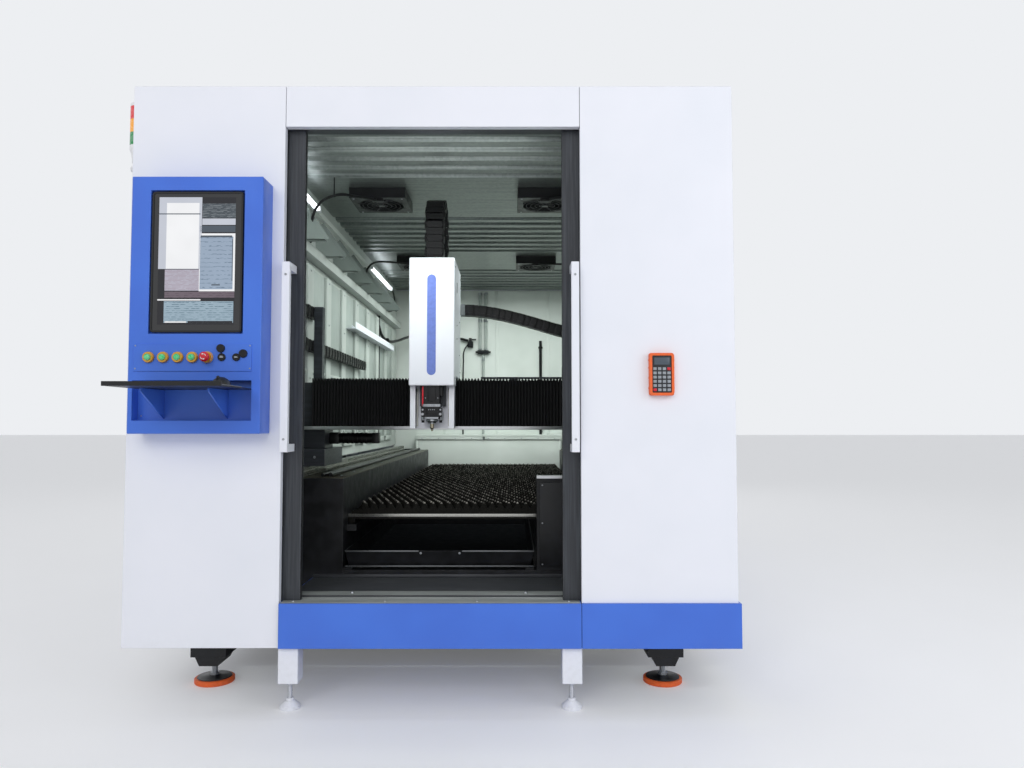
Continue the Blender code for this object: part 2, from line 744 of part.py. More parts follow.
def scrap_drawer():
    """An open tray of folded sheet with flared sides, which slides out through the doorway."""
    left = BED_INNER_LEFT + SEAT_GAP + DRAWER_SHEET
    right = DRAWER_RIGHT
    mid_x = (left + right) / 2
    mid_y = (DRAWER_FRONT + DRAWER_BACK) / 2
    work = bmesh.new()
    wide = (right - left) / 2 - DRAWER_FLARE
    deep = (DRAWER_BACK - DRAWER_FRONT) / 2 - DRAWER_FLARE
    size = Matrix.Diagonal((2 * wide, 2 * deep, DRAWER_HEIGHT, 1))
    bmesh.ops.create_cube(work, size=1, matrix=size)
    top = max(work.faces, key=lambda face: face.calc_center_median().z)
    for corner in top.verts:
        corner.co.x *= (wide + DRAWER_FLARE) / wide
        corner.co.y *= (deep + DRAWER_FLARE) / deep
    bmesh.ops.delete(work, geom=[top], context="FACES_ONLY")
    mesh = bpy.data.meshes.new("scrap_drawer")
    work.to_mesh(mesh)
    work.free()
    drawer = add_mesh("scrap_drawer", mesh, black_paint, (mid_x, mid_y, DRAWER_BOTTOM + DRAWER_HEIGHT / 2))
    shell = drawer.modifiers.new("sheet", "SOLIDIFY")
    shell.thickness = DRAWER_SHEET
    shell.offset = -1
    shell.use_even_offset = True
    apply_modifiers(drawer)
    return drawer


JUNCTION_TOP = 0.872
JUNCTION_LEFT = DRAWER_RIGHT + 0.012


def junction_box():
    """The terminal box beside the drawer, standing on the bed's front plate."""
    return box(
        "junction_box",
        (JUNCTION_LEFT, BED_INNER_RIGHT - SEAT_GAP),
        (BED_FRONT, BED_FRONT + FRONT_PLATE_DEPTH - SEAT_GAP),
        (FRONT_PLATE_TOP + SEAT_GAP, JUNCTION_TOP),
        black_paint,
        PANEL_SEAM,
    )


RAIL_WIDTH = 0.045
RAIL_HEAD = 0.038
RAIL_WAIST = 0.026
GUIDE_HEIGHT = 0.040
GUIDE_FROM_EDGE = 0.10
GUIDE_FRONT = 0.60
GUIDE_BACK = 4.12


def bed_rails():
    """Linear guide rails with a waisted section, bolted along the top of each side beam."""
    low = BED_TOP + SEAT_GAP
    section = (
        (RAIL_WIDTH / 2, 0),
        (RAIL_WIDTH / 2, GUIDE_HEIGHT / 3),
        (RAIL_WAIST / 2, GUIDE_HEIGHT / 2),
        (RAIL_HEAD / 2, GUIDE_HEIGHT * 2 / 3),
        (RAIL_HEAD / 2, GUIDE_HEIGHT),
    )
    for name, x in (
        ("guide_rail_left", BED_LEFT + GUIDE_FROM_EDGE),
        ("guide_rail_right", BED_RIGHT - GUIDE_FROM_EDGE),
    ):
        right_side = [(x + half, low + up) for half, up in section]
        left_side = [(x - half, low + up) for half, up in reversed(section)]
        prism(name, right_side + left_side, "Y", (GUIDE_FRONT, GUIDE_BACK), bright_steel)


TABLE_RAIL = 0.035
TABLE_FRONT = 0.64
TABLE_BACK = 4.04
SLAT_BOTTOM = 0.655
SLAT_TOP = 0.742
SLAT_THICKNESS = 0.003
TOOTH_PITCH = 0.064
TOOTH_HEIGHT = 0.034
SLAT_PITCH = 0.141
TABLE_RAIL_TOP = 0.685


def slat_table():
    """Toothed slats across the bed, set in two long rails that lie on the bed's ledges."""
    low = LEDGE_TOP + SEAT_GAP
    left = BED_INNER_LEFT + SEAT_GAP
    right = BED_INNER_RIGHT - SEAT_GAP
    rails = (TABLE_FRONT, TABLE_BACK)
    table = box("slat_table", (left, left + TABLE_RAIL), rails, (low, TABLE_RAIL_TOP), slat_steel)
    pieces = [box("rail", (right - TABLE_RAIL, right), rails, (low, TABLE_RAIL_TOP), slat_steel)]
    start = left + TABLE_RAIL / 2
    end = right - TABLE_RAIL / 2
    teeth = int((end - start) / TOOTH_PITCH)
    pitch = (end - start) / teeth
    outline = [(end, SLAT_BOTTOM), (end, SLAT_TOP - TOOTH_HEIGHT)]
    for tooth in range(teeth):
        base = end - tooth * pitch
        outline.append((base - pitch / 2, SLAT_TOP))
        if tooth < teeth - 1:
            outline.append((base - pitch, SLAT_TOP - TOOTH_HEIGHT))
    outline += [(start, SLAT_TOP - TOOTH_HEIGHT), (start, SLAT_BOTTOM)]
    count = int((TABLE_BACK - TABLE_FRONT) / SLAT_PITCH) + 1
    for number in range(count):
        y = TABLE_FRONT + SLAT_THICKNESS + number * SLAT_PITCH
        pieces.append(prism("slat", outline, "Y", (y, y + SLAT_THICKNESS), slat_steel))
    return unite(table, *pieces)


# Gantry

BEAM_INSET = 0.04
BEAM_LEFT = BED_LEFT + BEAM_INSET
BEAM_RIGHT = BED_RIGHT - BEAM_INSET
CABIN_HEIGHT = CEILING_BOTTOM - BEAM_TOP
LIP_FRONT = 0.882
LIP_BOTTOM = 1.084
LIP_TOP = 1.0985
CARRIAGE_WIDTH = 0.16
CARRIAGE_REACH = 0.10
CARRIAGE_HEIGHT = 0.085
TRAY_HEIGHT = 0.008
ARM_WIDTH = 0.045
BRACKET_UPRIGHT_Y = 1.216
PLEAT = 0.016
PLEAT_DEPTH = 0.009
BELLOWS_FRONT = 0.884
BELLOWS_BOTTOM = LIP_TOP + SEAT_GAP
BELLOWS_TOP = 1.345
BELLOWS_END = 0.06


def gantry_beam():
    """The cross beam with its end carriages, front lip, chain tray and chain arm."""
    back = GANTRY_FRONT + BEAM_DEPTH
    beam = box("gantry_beam", (BEAM_LEFT, BEAM_RIGHT), (GANTRY_FRONT, back), (BEAM_BOTTOM, BEAM_TOP), graphite_steel)
    pieces = [
        box(
            "lip",
            (BEAM_LEFT, BEAM_RIGHT),
            (LIP_FRONT, GANTRY_FRONT + CUT_OVERRUN),
            (LIP_BOTTOM, LIP_TOP),
            graphite_steel,
        ),
        box(
            "web",
            (BEAM_LEFT, BEAM_RIGHT),
            (GANTRY_FRONT, GANTRY_FRONT + LIP_TOP - LIP_BOTTOM),
            (LIP_BOTTOM, BEAM_BOTTOM + CUT_OVERRUN),
            graphite_steel,
        ),
    ]
    foot = BED_TOP + SEAT_GAP + GUIDE_HEIGHT + SEAT_GAP
    for rail_x in (BED_LEFT + GUIDE_FROM_EDGE, BED_RIGHT - GUIDE_FROM_EDGE):
        block_x = (rail_x - CARRIAGE_WIDTH / 2, rail_x + CARRIAGE_WIDTH / 2)
        long_y = (GANTRY_FRONT - CARRIAGE_REACH, back + CARRIAGE_REACH)
        pieces.append(box("block", block_x, long_y, (foot, foot + CARRIAGE_HEIGHT), graphite_steel))
        post_x = (rail_x - CARRIAGE_WIDTH / 3, rail_x + CARRIAGE_WIDTH / 3)
        post_y = (GANTRY_FRONT + CUT_OVERRUN, back - CUT_OVERRUN)
        post_z = (foot + CARRIAGE_HEIGHT / 2, BEAM_BOTTOM + CUT_OVERRUN)
        pieces.append(box("post", post_x, post_y, post_z, graphite_steel))
    tray_y = (X_CHAIN_Y - X_CHAIN_WIDTH / 2 - TRAY_HEIGHT, X_CHAIN_Y + X_CHAIN_WIDTH / 2 + TRAY_HEIGHT)
    tray_span = (HEAD_X + HEAD_WIDTH, BEAM_RIGHT - CUT_OVERRUN)
    tray_top = X_CHAIN_LOW - CHAIN_HEIGHT / 2 - SEAT_GAP
    pieces.append(box("tray", tray_span, tray_y, (tray_top - TRAY_HEIGHT, tray_top), graphite_steel))
    low = BEAM_TOP - ARM_WIDTH
    step = BEAM_TOP - CUT_OVERRUN
    bracket = [
        (back - CUT_OVERRUN, low),
        (X_CHAIN_Y, low),
        (X_CHAIN_Y, tray_top - SHEET),
        (BRACKET_UPRIGHT_Y, tray_top - SHEET),
        (BRACKET_UPRIGHT_Y, step),
        (back - CUT_OVERRUN, step),
    ]
    for x in (tray_span[0] + CARRIAGE_WIDTH, tray_span[1] - CARRIAGE_WIDTH):
        pieces.append(prism("bracket", bracket, "X", (x, x + ARM_WIDTH), graphite_steel))
    arm_left = INNER_LEFT + WALL_RIB_PROUD + SEAT_GAP + Y_CHAIN_WIDTH + SEAT_GAP
    arm_x = (arm_left, arm_left + ARM_WIDTH)
    arm_y = (back - ARM_WIDTH, back + SHEET)
    pieces.append(box("arm", arm_x, arm_y, (BEAM_TOP - CUT_OVERRUN, ARM_TOP), graphite_steel))
    return unite(beam, *pieces)


def bellows(name, x_low, x_high):
    """A pleated cover: a block divided along X, with every second ring drawn in."""
    length = x_high - x_low
    pleats = max(2, round(length / PLEAT))
    low = Vector((x_low, BELLOWS_FRONT, BELLOWS_BOTTOM))
    high = Vector((x_high, GANTRY_FRONT - SEAT_GAP, BELLOWS_TOP))
    middle = (low + high) / 2
    size = high - low
    work = bmesh.new()
    bmesh.ops.create_cube(work, size=1, matrix=Matrix.Diagonal((*size, 1)))
    long_edges = [edge for edge in work.edges if abs(edge.verts[0].co.x - edge.verts[1].co.x) > length / 2]
    bmesh.ops.subdivide_edges(work, edges=long_edges, cuts=2 * pleats - 1, use_grid_fill=True)
    step = length / (2 * pleats)
    for vertex in work.verts:
        ring = round((vertex.co.x + length / 2) / step)
        if ring % 2:
            if vertex.co.y < 0:
                vertex.co.y += PLEAT_DEPTH
            if vertex.co.z > 0:
                vertex.co.z -= PLEAT_DEPTH
    mesh = bpy.data.meshes.new(name)
    work.to_mesh(mesh)
    work.free()
    return add_mesh(name, mesh, bellows_cloth, middle)


# Energy chains

CHAIN_HEIGHT = 0.060
CHAIN_LINK = 0.072
CHAIN_NOTCH = 0.008
CHAIN_NOTCH_WIDTH = 0.006
X_CHAIN_WIDTH = 0.080
X_CHAIN_Y = 1.26
X_CHAIN_LOW = BEAM_TOP + 0.075
X_CHAIN_HIGH_START = BEAM_TOP + CABIN_HEIGHT * 0.391
X_CHAIN_HIGH_END = BEAM_TOP + CABIN_HEIGHT * 0.237
X_CHAIN_TURN_X = BEAM_RIGHT - 0.14
Y_CHAIN_LOW = BEAM_TOP + CABIN_HEIGHT * 0.19
Y_CHAIN_RADIUS = CABIN_HEIGHT * 0.084
ARM_TOP = Y_CHAIN_LOW + 2 * Y_CHAIN_RADIUS + CHAIN_HEIGHT / 2
Y_CHAIN_WIDTH = 0.036
Y_CHAIN_FRONT = 0.98
Y_CHAIN_BACK = 2.60
Y_CHAIN_ARM_END = 1.20
ARCH_RADIUS = 0.135
ARCH_Y = 1.03
ARCH_TOP = CEILING_BOTTOM - 0.095
ARCH_WIDTH = 0.085
CHAIN_TURN_STEPS = 14


def chain_outline(path):
    """The edge of an energy chain along a path of 2D points, with a notch between its links."""
    spots = [Vector(point) for point in path]
    lengths = [0]
    for first, second in zip(spots, spots[1:]):
        lengths.append(lengths[-1] + (second - first).length)

    def at(distance):
        distance = min(max(distance, 0), lengths[-1])
        for number in range(len(spots) - 1):
            if distance <= lengths[number + 1]:
                share = (distance - lengths[number]) / (lengths[number + 1] - lengths[number])
                return spots[number].lerp(spots[number + 1], share)
        return spots[-1]

    links = max(2, round(lengths[-1] / CHAIN_LINK))
    pitch = lengths[-1] / links
    upper = []
    lower = []
    for link in range(links):
        start = link * pitch + CHAIN_NOTCH_WIDTH / 2
        end = (link + 1) * pitch - CHAIN_NOTCH_WIDTH / 2
        for distance, depth in (
            (link * pitch, CHAIN_NOTCH),
            (start, 0),
            (end, 0),
        ):
            spot = at(distance)
            ahead = (at(distance + pitch / 2) - at(distance - pitch / 2)).normalized()
            side = Vector((-ahead.y, ahead.x))
            half = CHAIN_HEIGHT / 2 - depth
            upper.append(tuple(spot + side * half))
            lower.append(tuple(spot - side * half))
    last = at(lengths[-1])
    ahead = (last - at(lengths[-1] - pitch / 2)).normalized()
    side = Vector((-ahead.y, ahead.x))
    upper.append(tuple(last + side * CHAIN_HEIGHT / 2))
    lower.append(tuple(last - side * CHAIN_HEIGHT / 2))
    return upper + lower[::-1]


def arc(centre, radius, start, end, steps=CHAIN_TURN_STEPS):
    points = []
    for number in range(steps + 1):
        angle = start + (end - start) * number / steps
        points.append((centre[0] + radius * cos(angle), centre[1] + radius * sin(angle)))
    return points


def x_chain():
    """From the back of the head, out over the beam, round a turn and back along the tray."""
    start_x = HEAD_X + HEAD_WIDTH / 2 + SEAT_GAP
    radius = (X_CHAIN_HIGH_END - X_CHAIN_LOW) / 2
    drop = X_CHAIN_HIGH_START - X_CHAIN_HIGH_END
    run = X_CHAIN_TURN_X - start_x
    path = []
    for number in range(CHAIN_TURN_STEPS):
        share = number / CHAIN_TURN_STEPS
        fall = (1 - cos(pi * share)) / 2
        path.append((start_x + run * share, X_CHAIN_HIGH_START - drop * fall))
    path += arc((X_CHAIN_TURN_X, X_CHAIN_LOW + radius), radius, pi / 2, -pi / 2)
    path.append((HEAD_X + HEAD_WIDTH + CHAIN_LINK, X_CHAIN_LOW))
    width = (X_CHAIN_Y - X_CHAIN_WIDTH / 2, X_CHAIN_Y + X_CHAIN_WIDTH / 2)
    return prism("chain_across", chain_outline(path), "Y", width, chain_plastic)


def y_chain():
    """Along the inner wall, round a turn near the front, and back to the gantry's arm."""
    low = Y_CHAIN_LOW
    path = [(Y_CHAIN_BACK, low)]
    path += arc((Y_CHAIN_FRONT, low + Y_CHAIN_RADIUS), Y_CHAIN_RADIUS, -pi / 2, -3 * pi / 2)
    path.append((Y_CHAIN_ARM_END, low + 2 * Y_CHAIN_RADIUS))
    left = INNER_LEFT + WALL_RIB_PROUD + SEAT_GAP
    return prism("chain_along", chain_outline(path), "X", (left, left + Y_CHAIN_WIDTH), chain_plastic)


def arch_chain():
    """The upright loop over the head, with both ends in the top of its cover."""
    foot = COVER_TOP + SEAT_GAP
    spring = ARCH_TOP - CHAIN_HEIGHT / 2 - ARCH_RADIUS
    path = [(ARCH_Y - ARCH_RADIUS, foot)]
    path += arc((ARCH_Y, spring), ARCH_RADIUS, pi, 0)
    path.append((ARCH_Y + ARCH_RADIUS, foot))
    width = (HEAD_X - ARCH_WIDTH / 2, HEAD_X + ARCH_WIDTH / 2)
    return prism("chain_arch", chain_outline(path), "X", width, chain_plastic)


# Head

COVER_FRONT = 0.76
COVER_APRON_BACK = 0.90
COVER_BACK = 1.20
COVER_BOTTOM = 1.30
COVER_HEIGHT = CABIN_HEIGHT * 0.595
COVER_TOP = COVER_BOTTOM + COVER_HEIGHT
COVER_STEP = 1.352
COVER_SHEET = 0.003
PLATE_BACK = 0.876
PLATE_THICKNESS = 0.012
CHEEK_FRONT = 0.800
CHEEK_WIDTH = 0.026
PLATE_BOTTOM = 1.090
SADDLE_BOTTOM = 1.120
SADDLE_TOP = 1.300
SADDLE_SIDE = 0.020
SLIDE_WIDTH = 0.130
SLIDE_THICKNESS = 0.026
SLIDE_BOTTOM = 1.200
SLIDE_TOP = COVER_TOP - COVER_HEIGHT / 4
SLIDE_BLOCK_HEIGHT = COVER_HEIGHT * 0.18
BODY_WIDTH = 0.080
BODY_DEPTH = 0.064
BODY_BOTTOM = 1.135
BODY_TOP = COVER_BOTTOM + COVER_HEIGHT * 0.19
CONE_RADIUS = 0.028
CONE_TIP_RADIUS = 0.010
NOZZLE_TOP = 1.112
NOZZLE_BOTTOM = 1.076
NOZZLE_RADIUS = 0.011
NOZZLE_TIP_RADIUS = 0.004
COLLAR_RADIUS = 0.024
FIBRE_RADIUS = 0.017
FIBRE_LENGTH = COVER_HEIGHT / 4
SLIDE_MARGIN = 0.014


def head_cover():
    """A folded white cover, open underneath, that steps up over the beam at the back."""
    side = [
        (COVER_FRONT, COVER_BOTTOM),
        (COVER_FRONT, COVER_TOP),
        (COVER_BACK, COVER_TOP),
        (COVER_BACK, COVER_STEP),
        (COVER_APRON_BACK, COVER_STEP),
        (PLATE_BACK, COVER_BOTTOM),
    ]
    left = HEAD_X - HEAD_WIDTH / 2
    right = HEAD_X + HEAD_WIDTH / 2
    cover = prism("head_cover", side, "X", (left, right), white_paint)
    bevel = cover.modifiers.new("rounded_edges", "BEVEL")
    bevel.width = EDGE_ROUND
    bevel.segments = 2
    apply_modifiers(cover)
    hollow = [
        (COVER_FRONT + COVER_SHEET, COVER_BOTTOM - CUT_OVERRUN),
        (COVER_FRONT + COVER_SHEET, COVER_TOP - COVER_SHEET),
        (COVER_BACK - COVER_SHEET, COVER_TOP - COVER_SHEET),
        (COVER_BACK - COVER_SHEET, COVER_STEP - CUT_OVERRUN),
        (PLATE_BACK + COVER_SHEET, COVER_STEP - CUT_OVERRUN),
        (PLATE_BACK + COVER_SHEET, COVER_BOTTOM - CUT_OVERRUN),
    ]
    inner = prism("hollow", hollow, "X", (left + COVER_SHEET, right - COVER_SHEET), white_paint)
    return shade(cut(cover, inner))


def head_plate():
    """The white channel that carries the slide, with the saddle that runs on the beam."""
    left = HEAD_X - HEAD_WIDTH / 2 + COVER_SHEET + SEAT_GAP
    right = HEAD_X + HEAD_WIDTH / 2 - COVER_SHEET - SEAT_GAP
    inner_face = PLATE_BACK - PLATE_THICKNESS
    outline = [
        (left, CHEEK_FRONT),
        (left + CHEEK_WIDTH, CHEEK_FRONT),
        (left + CHEEK_WIDTH, inner_face),
        (right - CHEEK_WIDTH, inner_face),
        (right - CHEEK_WIDTH, CHEEK_FRONT),
        (right, CHEEK_FRONT),
        (right, PLATE_BACK),
        (left, PLATE_BACK),
    ]
    top = COVER_TOP - COVER_SHEET - SEAT_GAP
    plate = prism("head_plate", outline, "Z", (PLATE_BOTTOM, top), white_paint)
    saddle = box(
        "saddle",
        (left + SADDLE_SIDE, right - SADDLE_SIDE),
        (inner_face, GANTRY_FRONT - SEAT_GAP),
        (SADDLE_BOTTOM, SADDLE_TOP),
        white_paint,
    )
    return unite(plate, saddle)


def z_slide():
    """The moving plate in the channel, with its motor block on top."""
    back = PLATE_BACK - PLATE_THICKNESS - SEAT_GAP
    front = back - SLIDE_THICKNESS
    half = SLIDE_WIDTH / 2
    plate = box(
        "z_slide",
        (HEAD_X - half, HEAD_X + half),
        (front, back),
        (SLIDE_BOTTOM, SLIDE_TOP),
        graphite_steel,
    )
    block = box(
        "block",
        (HEAD_X - half + SLIDE_MARGIN, HEAD_X + half - SLIDE_MARGIN),
        (front - SLIDE_THICKNESS, front + SLIDE_MARGIN),
        (SLIDE_TOP - SLIDE_MARGIN - SLIDE_BLOCK_HEIGHT, SLIDE_TOP - SLIDE_MARGIN),
        graphite_steel,
    )
    return unite(plate, block)


def cutting_head():
    """The cutting head: a body with its lens drawer, the cone under it and the fibre plug on top."""
    back = PLATE_BACK - PLATE_THICKNESS - SEAT_GAP - SLIDE_THICKNESS - SEAT_GAP
    front = back - BODY_DEPTH
    centre_y = (front + back) / 2
    half = BODY_WIDTH / 2
    body = box(
        "cutting_head",
        (HEAD_X - half, HEAD_X + half),
        (front, back),
        (BODY_BOTTOM, BODY_TOP),
        black_paint,
        PANEL_SEAM,
    )
    cone = turned(
        "cone",
        [
            (0, BODY_BOTTOM + CUT_OVERRUN),
            (CONE_RADIUS, BODY_BOTTOM + CUT_OVERRUN),
            (CONE_RADIUS, BODY_BOTTOM - CUT_OVERRUN),
            (CONE_TIP_RADIUS + PANEL_SEAM, NOZZLE_TOP + SEAT_GAP),
            (0, NOZZLE_TOP + SEAT_GAP),
        ],
        (HEAD_X, centre_y, 0),
        "Z",
        black_paint,
    )
    drawer_height = BODY_DEPTH / 2
    drawer_low = BODY_BOTTOM + drawer_height
    drawer = box(
        "drawer",
        (HEAD_X - half - SLIDE_MARGIN, HEAD_X + CUT_OVERRUN),
        (front + CUT_OVERRUN, back - CUT_OVERRUN),
        (drawer_low, drawer_low + drawer_height),
        black_paint,
    )
    collar_top = (HEAD_X, centre_y, BODY_TOP + SLIDE_MARGIN)
    collar = rod("collar", collar_top, COLLAR_RADIUS, 2 * SLIDE_MARGIN, "Z", black_paint)
    plug_top = BODY_TOP + SLIDE_MARGIN + FIBRE_LENGTH
    plug = rod("plug", (HEAD_X, centre_y, plug_top), FIBRE_RADIUS, FIBRE_LENGTH + CUT_OVERRUN, "Z", black_paint)
    shade(unite(body, cone, drawer, collar, plug))
    turned(
        "nozzle",
        [
            (0, NOZZLE_TOP),
            (NOZZLE_RADIUS, NOZZLE_TOP),
            (NOZZLE_RADIUS, (NOZZLE_TOP + NOZZLE_BOTTOM) / 2),
            (NOZZLE_TIP_RADIUS, NOZZLE_BOTTOM),
            (0, NOZZLE_BOTTOM),
        ],
        (HEAD_X, centre_y, 0),
        "Z",
        bright_steel,
        DISC_SIDES,
    )


# Doors: two leaves that slide apart behind the front panels

LEAF_WIDTH = SIDE_PANEL_WIDTH
LEAF_THICKNESS = 0.030
LEAF_FRONT = 0.045
STILE_SEEN = 0.070
LEAF_BOTTOM = SKIRT_TOP + SEAT_GAP
LEAF_TOP = DOORWAY_TOP
WINDOW_SIDE = 0.13
WINDOW_BOTTOM = 1.10
WINDOW_FROM_TOP = 0.305
WINDOW_TOP = LEAF_TOP - WINDOW_FROM_TOP
WINDOW_THICKNESS = 0.006
TRACK_HEIGHT = 0.040
TRACK_DEPTH = 0.050
HANDLE_WIDTH = 0.030
HANDLE_THICKNESS = 0.022
HANDLE_BOTTOM = 1.005
HANDLE_TOP = 1.748
HANDLE_PROUD = 0.055
HANDLE_FOOT = 0.030
HANDLE_FROM_EDGE = 0.040


def doors():
    stile_edge = HALF_DOORWAY - STILE_SEEN
    leaf_y = (LEAF_FRONT, LEAF_FRONT + LEAF_THICKNESS)
    for side, mirror in (("left", -1), ("right", 1)):
        ends = sorted((mirror * stile_edge, mirror * (stile_edge + LEAF_WIDTH)))
        leaf = box("door_leaf_" + side, ends, leaf_y, (LEAF_BOTTOM, LEAF_TOP), graphite_steel)
        glass_x = (ends[0] + WINDOW_SIDE, ends[1] - WINDOW_SIDE)
        through = (leaf_y[0] - CUT_OVERRUN, leaf_y[1] + CUT_OVERRUN)
        cut(leaf, box("window", glass_x, through, (WINDOW_BOTTOM, WINDOW_TOP), graphite_steel))
        middle = LEAF_FRONT + LEAF_THICKNESS / 2
        box(
            "door_window_" + side,
            (glass_x[0] + SEAT_GAP, glass_x[1] - SEAT_GAP),
            (middle - WINDOW_THICKNESS / 2, middle + WINDOW_THICKNESS / 2),
            (WINDOW_BOTTOM + SEAT_GAP, WINDOW_TOP - SEAT_GAP),
            window_glass,
        )
        bar_front = LEAF_FRONT - SEAT_GAP - HANDLE_PROUD - LEAF_FRONT
        bar_back = bar_front + HANDLE_THICKNESS
        seat = LEAF_FRONT - SEAT_GAP
        outline = [
            (bar_front, HANDLE_BOTTOM),
            (seat, HANDLE_BOTTOM),
            (seat, HANDLE_BOTTOM + HANDLE_FOOT),
            (bar_back, HANDLE_BOTTOM + HANDLE_FOOT),
            (bar_back, HANDLE_TOP - HANDLE_FOOT),
            (seat, HANDLE_TOP - HANDLE_FOOT),
            (seat, HANDLE_TOP),
            (bar_front, HANDLE_TOP),
        ]
        near = mirror * (HALF_DOORWAY - CUT_OVERRUN)
        far = near - mirror * HANDLE_WIDTH
        prism("door_handle_" + side, outline, "X", (min(near, far), max(near, far)), white_paint)


def door_track():
    """The overhead track, a channel that the hangers of both leaves run in."""
    reach = HALF_WIDTH - PANEL_DEPTH - SEAT_GAP
    low = LEAF_TOP + SEAT_GAP
    front = LEAF_FRONT - CUT_OVERRUN
    outline = [
        (front, low),
        (front + TRACK_DEPTH, low),
        (front + TRACK_DEPTH, low + TRACK_HEIGHT),
        (PANEL_DEPTH + SEAT_GAP, low + TRACK_HEIGHT),
        (PANEL_DEPTH + SEAT_GAP, low + TRACK_HEIGHT / 2),
        (front, low + TRACK_HEIGHT / 2),
    ]
    return prism("door_track", outline, "X", (-reach, reach), graphite_steel)


# Operator's console

CONSOLE_RIGHT = CONSOLE_LEFT + CONSOLE_WIDTH
CONSOLE_TOP = CONSOLE_BOTTOM + CONSOLE_HEIGHT
CONSOLE_FACE = -SEAT_GAP - CONSOLE_DEPTH
SCREEN_FROM_SIDE = 0.074
SCREEN_FROM_BOTTOM = 0.380
SCREEN_LEFT = CONSOLE_LEFT + SCREEN_FROM_SIDE
SCREEN_WIDTH = 0.360
SCREEN_BOTTOM = CONSOLE_BOTTOM + SCREEN_FROM_BOTTOM
SCREEN_HEIGHT = 0.553
SCREEN_RECESS = 0.022
SCREEN_MARGIN = 0.006
SCREEN_ROUND = 0.012
RECESS_FROM_SIDE = 0.018
RECESS_FROM_BOTTOM = 0.050
KEYBOARD_RECESS_LEFT = CONSOLE_LEFT + RECESS_FROM_SIDE
KEYBOARD_RECESS_WIDTH = 0.452
KEYBOARD_RECESS_BOTTOM = CONSOLE_BOTTOM + RECESS_FROM_BOTTOM
KEYBOARD_RECESS_HEIGHT = 0.152
KEYBOARD_RECESS_DEPTH = 0.050
BUTTONS_FROM_BOTTOM = 0.290
BUTTONS_FROM_SIDE = 0.080
BUTTON_Z = CONSOLE_BOTTOM + BUTTONS_FROM_BOTTOM
BUTTON_FIRST_X = CONSOLE_LEFT + BUTTONS_FROM_SIDE
BUTTON_PITCH = 0.0555
PLATE_FROM_SIDE = 0.023
PLATE_UNDER_BUTTONS = 0.053
PLATE_LEFT = CONSOLE_LEFT + PLATE_FROM_SIDE
PLATE_WIDTH = 0.447
PLATE_LOW = BUTTON_Z - PLATE_UNDER_BUTTONS
PLATE_HEIGHT = 0.103
PLATE_SHEET = 0.003
RING_RADIUS = 0.020
RING_PROUD = 0.011
BUTTON_BORE = 0.0128
BUTTON_RADIUS = 0.0125
BUTTON_PROUD = 0.007
BUTTON_TRAVEL = 0.004
STOP_RING_RADIUS = 0.022
STOP_RADIUS = 0.019
STOP_FACE_RADIUS = 0.0145
STOP_STEM_RADIUS = BUTTON_RADIUS
STOP_PROUD = 0.030
STOP_HEAD = 0.014
STOP_TRAVEL = 0.005
PORT_RADIUS = 0.014
PORT_PROUD = 0.006
CAP_RADIUS = 0.015
CAP_PROUD = 0.008
PORT_CAP_OFFSETS = ((-0.004, 0.034), (0.026, 0.014))
GREEN_BUTTONS = 4
TRAY_FROM_SIDE = 0.060
TRAY_FROM_BOTTOM = 0.168
TRAY_LEFT = CONSOLE_LEFT + TRAY_FROM_SIDE
TRAY_WIDTH = 0.430
TRAY_FRONT_REACH = 0.300
TRAY_Z = CONSOLE_BOTTOM + TRAY_FROM_BOTTOM
TRAY_SHEET = 0.004
TRAY_TURN_UP = 0.012
GUSSET_X_SHARES = (0.13, 0.70)
GUSSET_DROP = 0.110
GUSSET_REACH = 0.190
KEYBOARD_WIDTH = 0.300
KEYBOARD_DEPTH = 0.130
KEYBOARD_HEIGHT = 0.018
KEYBOARD_SLOPE = 0.008


def console_box():
    """The blue casing, with a recess for the screen and one for the keyboard shelf."""
    casing = box(
        "console_box",
        (CONSOLE_LEFT, CONSOLE_RIGHT),
        (CONSOLE_FACE, -SEAT_GAP),
        (CONSOLE_BOTTOM, CONSOLE_TOP),
        blue_paint,
        EDGE_ROUND / 2,
    )
    screen_cut = box(
        "screen_cut",
        (SCREEN_LEFT, SCREEN_LEFT + SCREEN_WIDTH),
        (CONSOLE_FACE - CUT_OVERRUN, CONSOLE_FACE + SCREEN_RECESS),
        (SCREEN_BOTTOM, SCREEN_BOTTOM + SCREEN_HEIGHT),
        blue_paint,
    )
    keyboard_cut = box(
        "keyboard_cut",
        (KEYBOARD_RECESS_LEFT, KEYBOARD_RECESS_LEFT + KEYBOARD_RECESS_WIDTH),
        (CONSOLE_FACE - CUT_OVERRUN, CONSOLE_FACE + KEYBOARD_RECESS_DEPTH),
        (KEYBOARD_RECESS_BOTTOM, KEYBOARD_RECESS_BOTTOM + KEYBOARD_RECESS_HEIGHT),
        blue_paint,
    )
    return cut(casing, screen_cut, keyboard_cut)


def monitor():
    back = CONSOLE_FACE + SCREEN_RECESS - SEAT_GAP
    return box(
        "monitor",
        (SCREEN_LEFT + SCREEN_MARGIN, SCREEN_LEFT + SCREEN_WIDTH - SCREEN_MARGIN),
        (back - SCREEN_RECESS + PANEL_SEAM, back),
        (SCREEN_BOTTOM + SCREEN_MARGIN, SCREEN_BOTTOM + SCREEN_HEIGHT - SCREEN_MARGIN),
        screen_glass,
        SCREEN_RECESS / 4,
        2,
    )


def button_x(place):
    return BUTTON_FIRST_X + place * BUTTON_PITCH


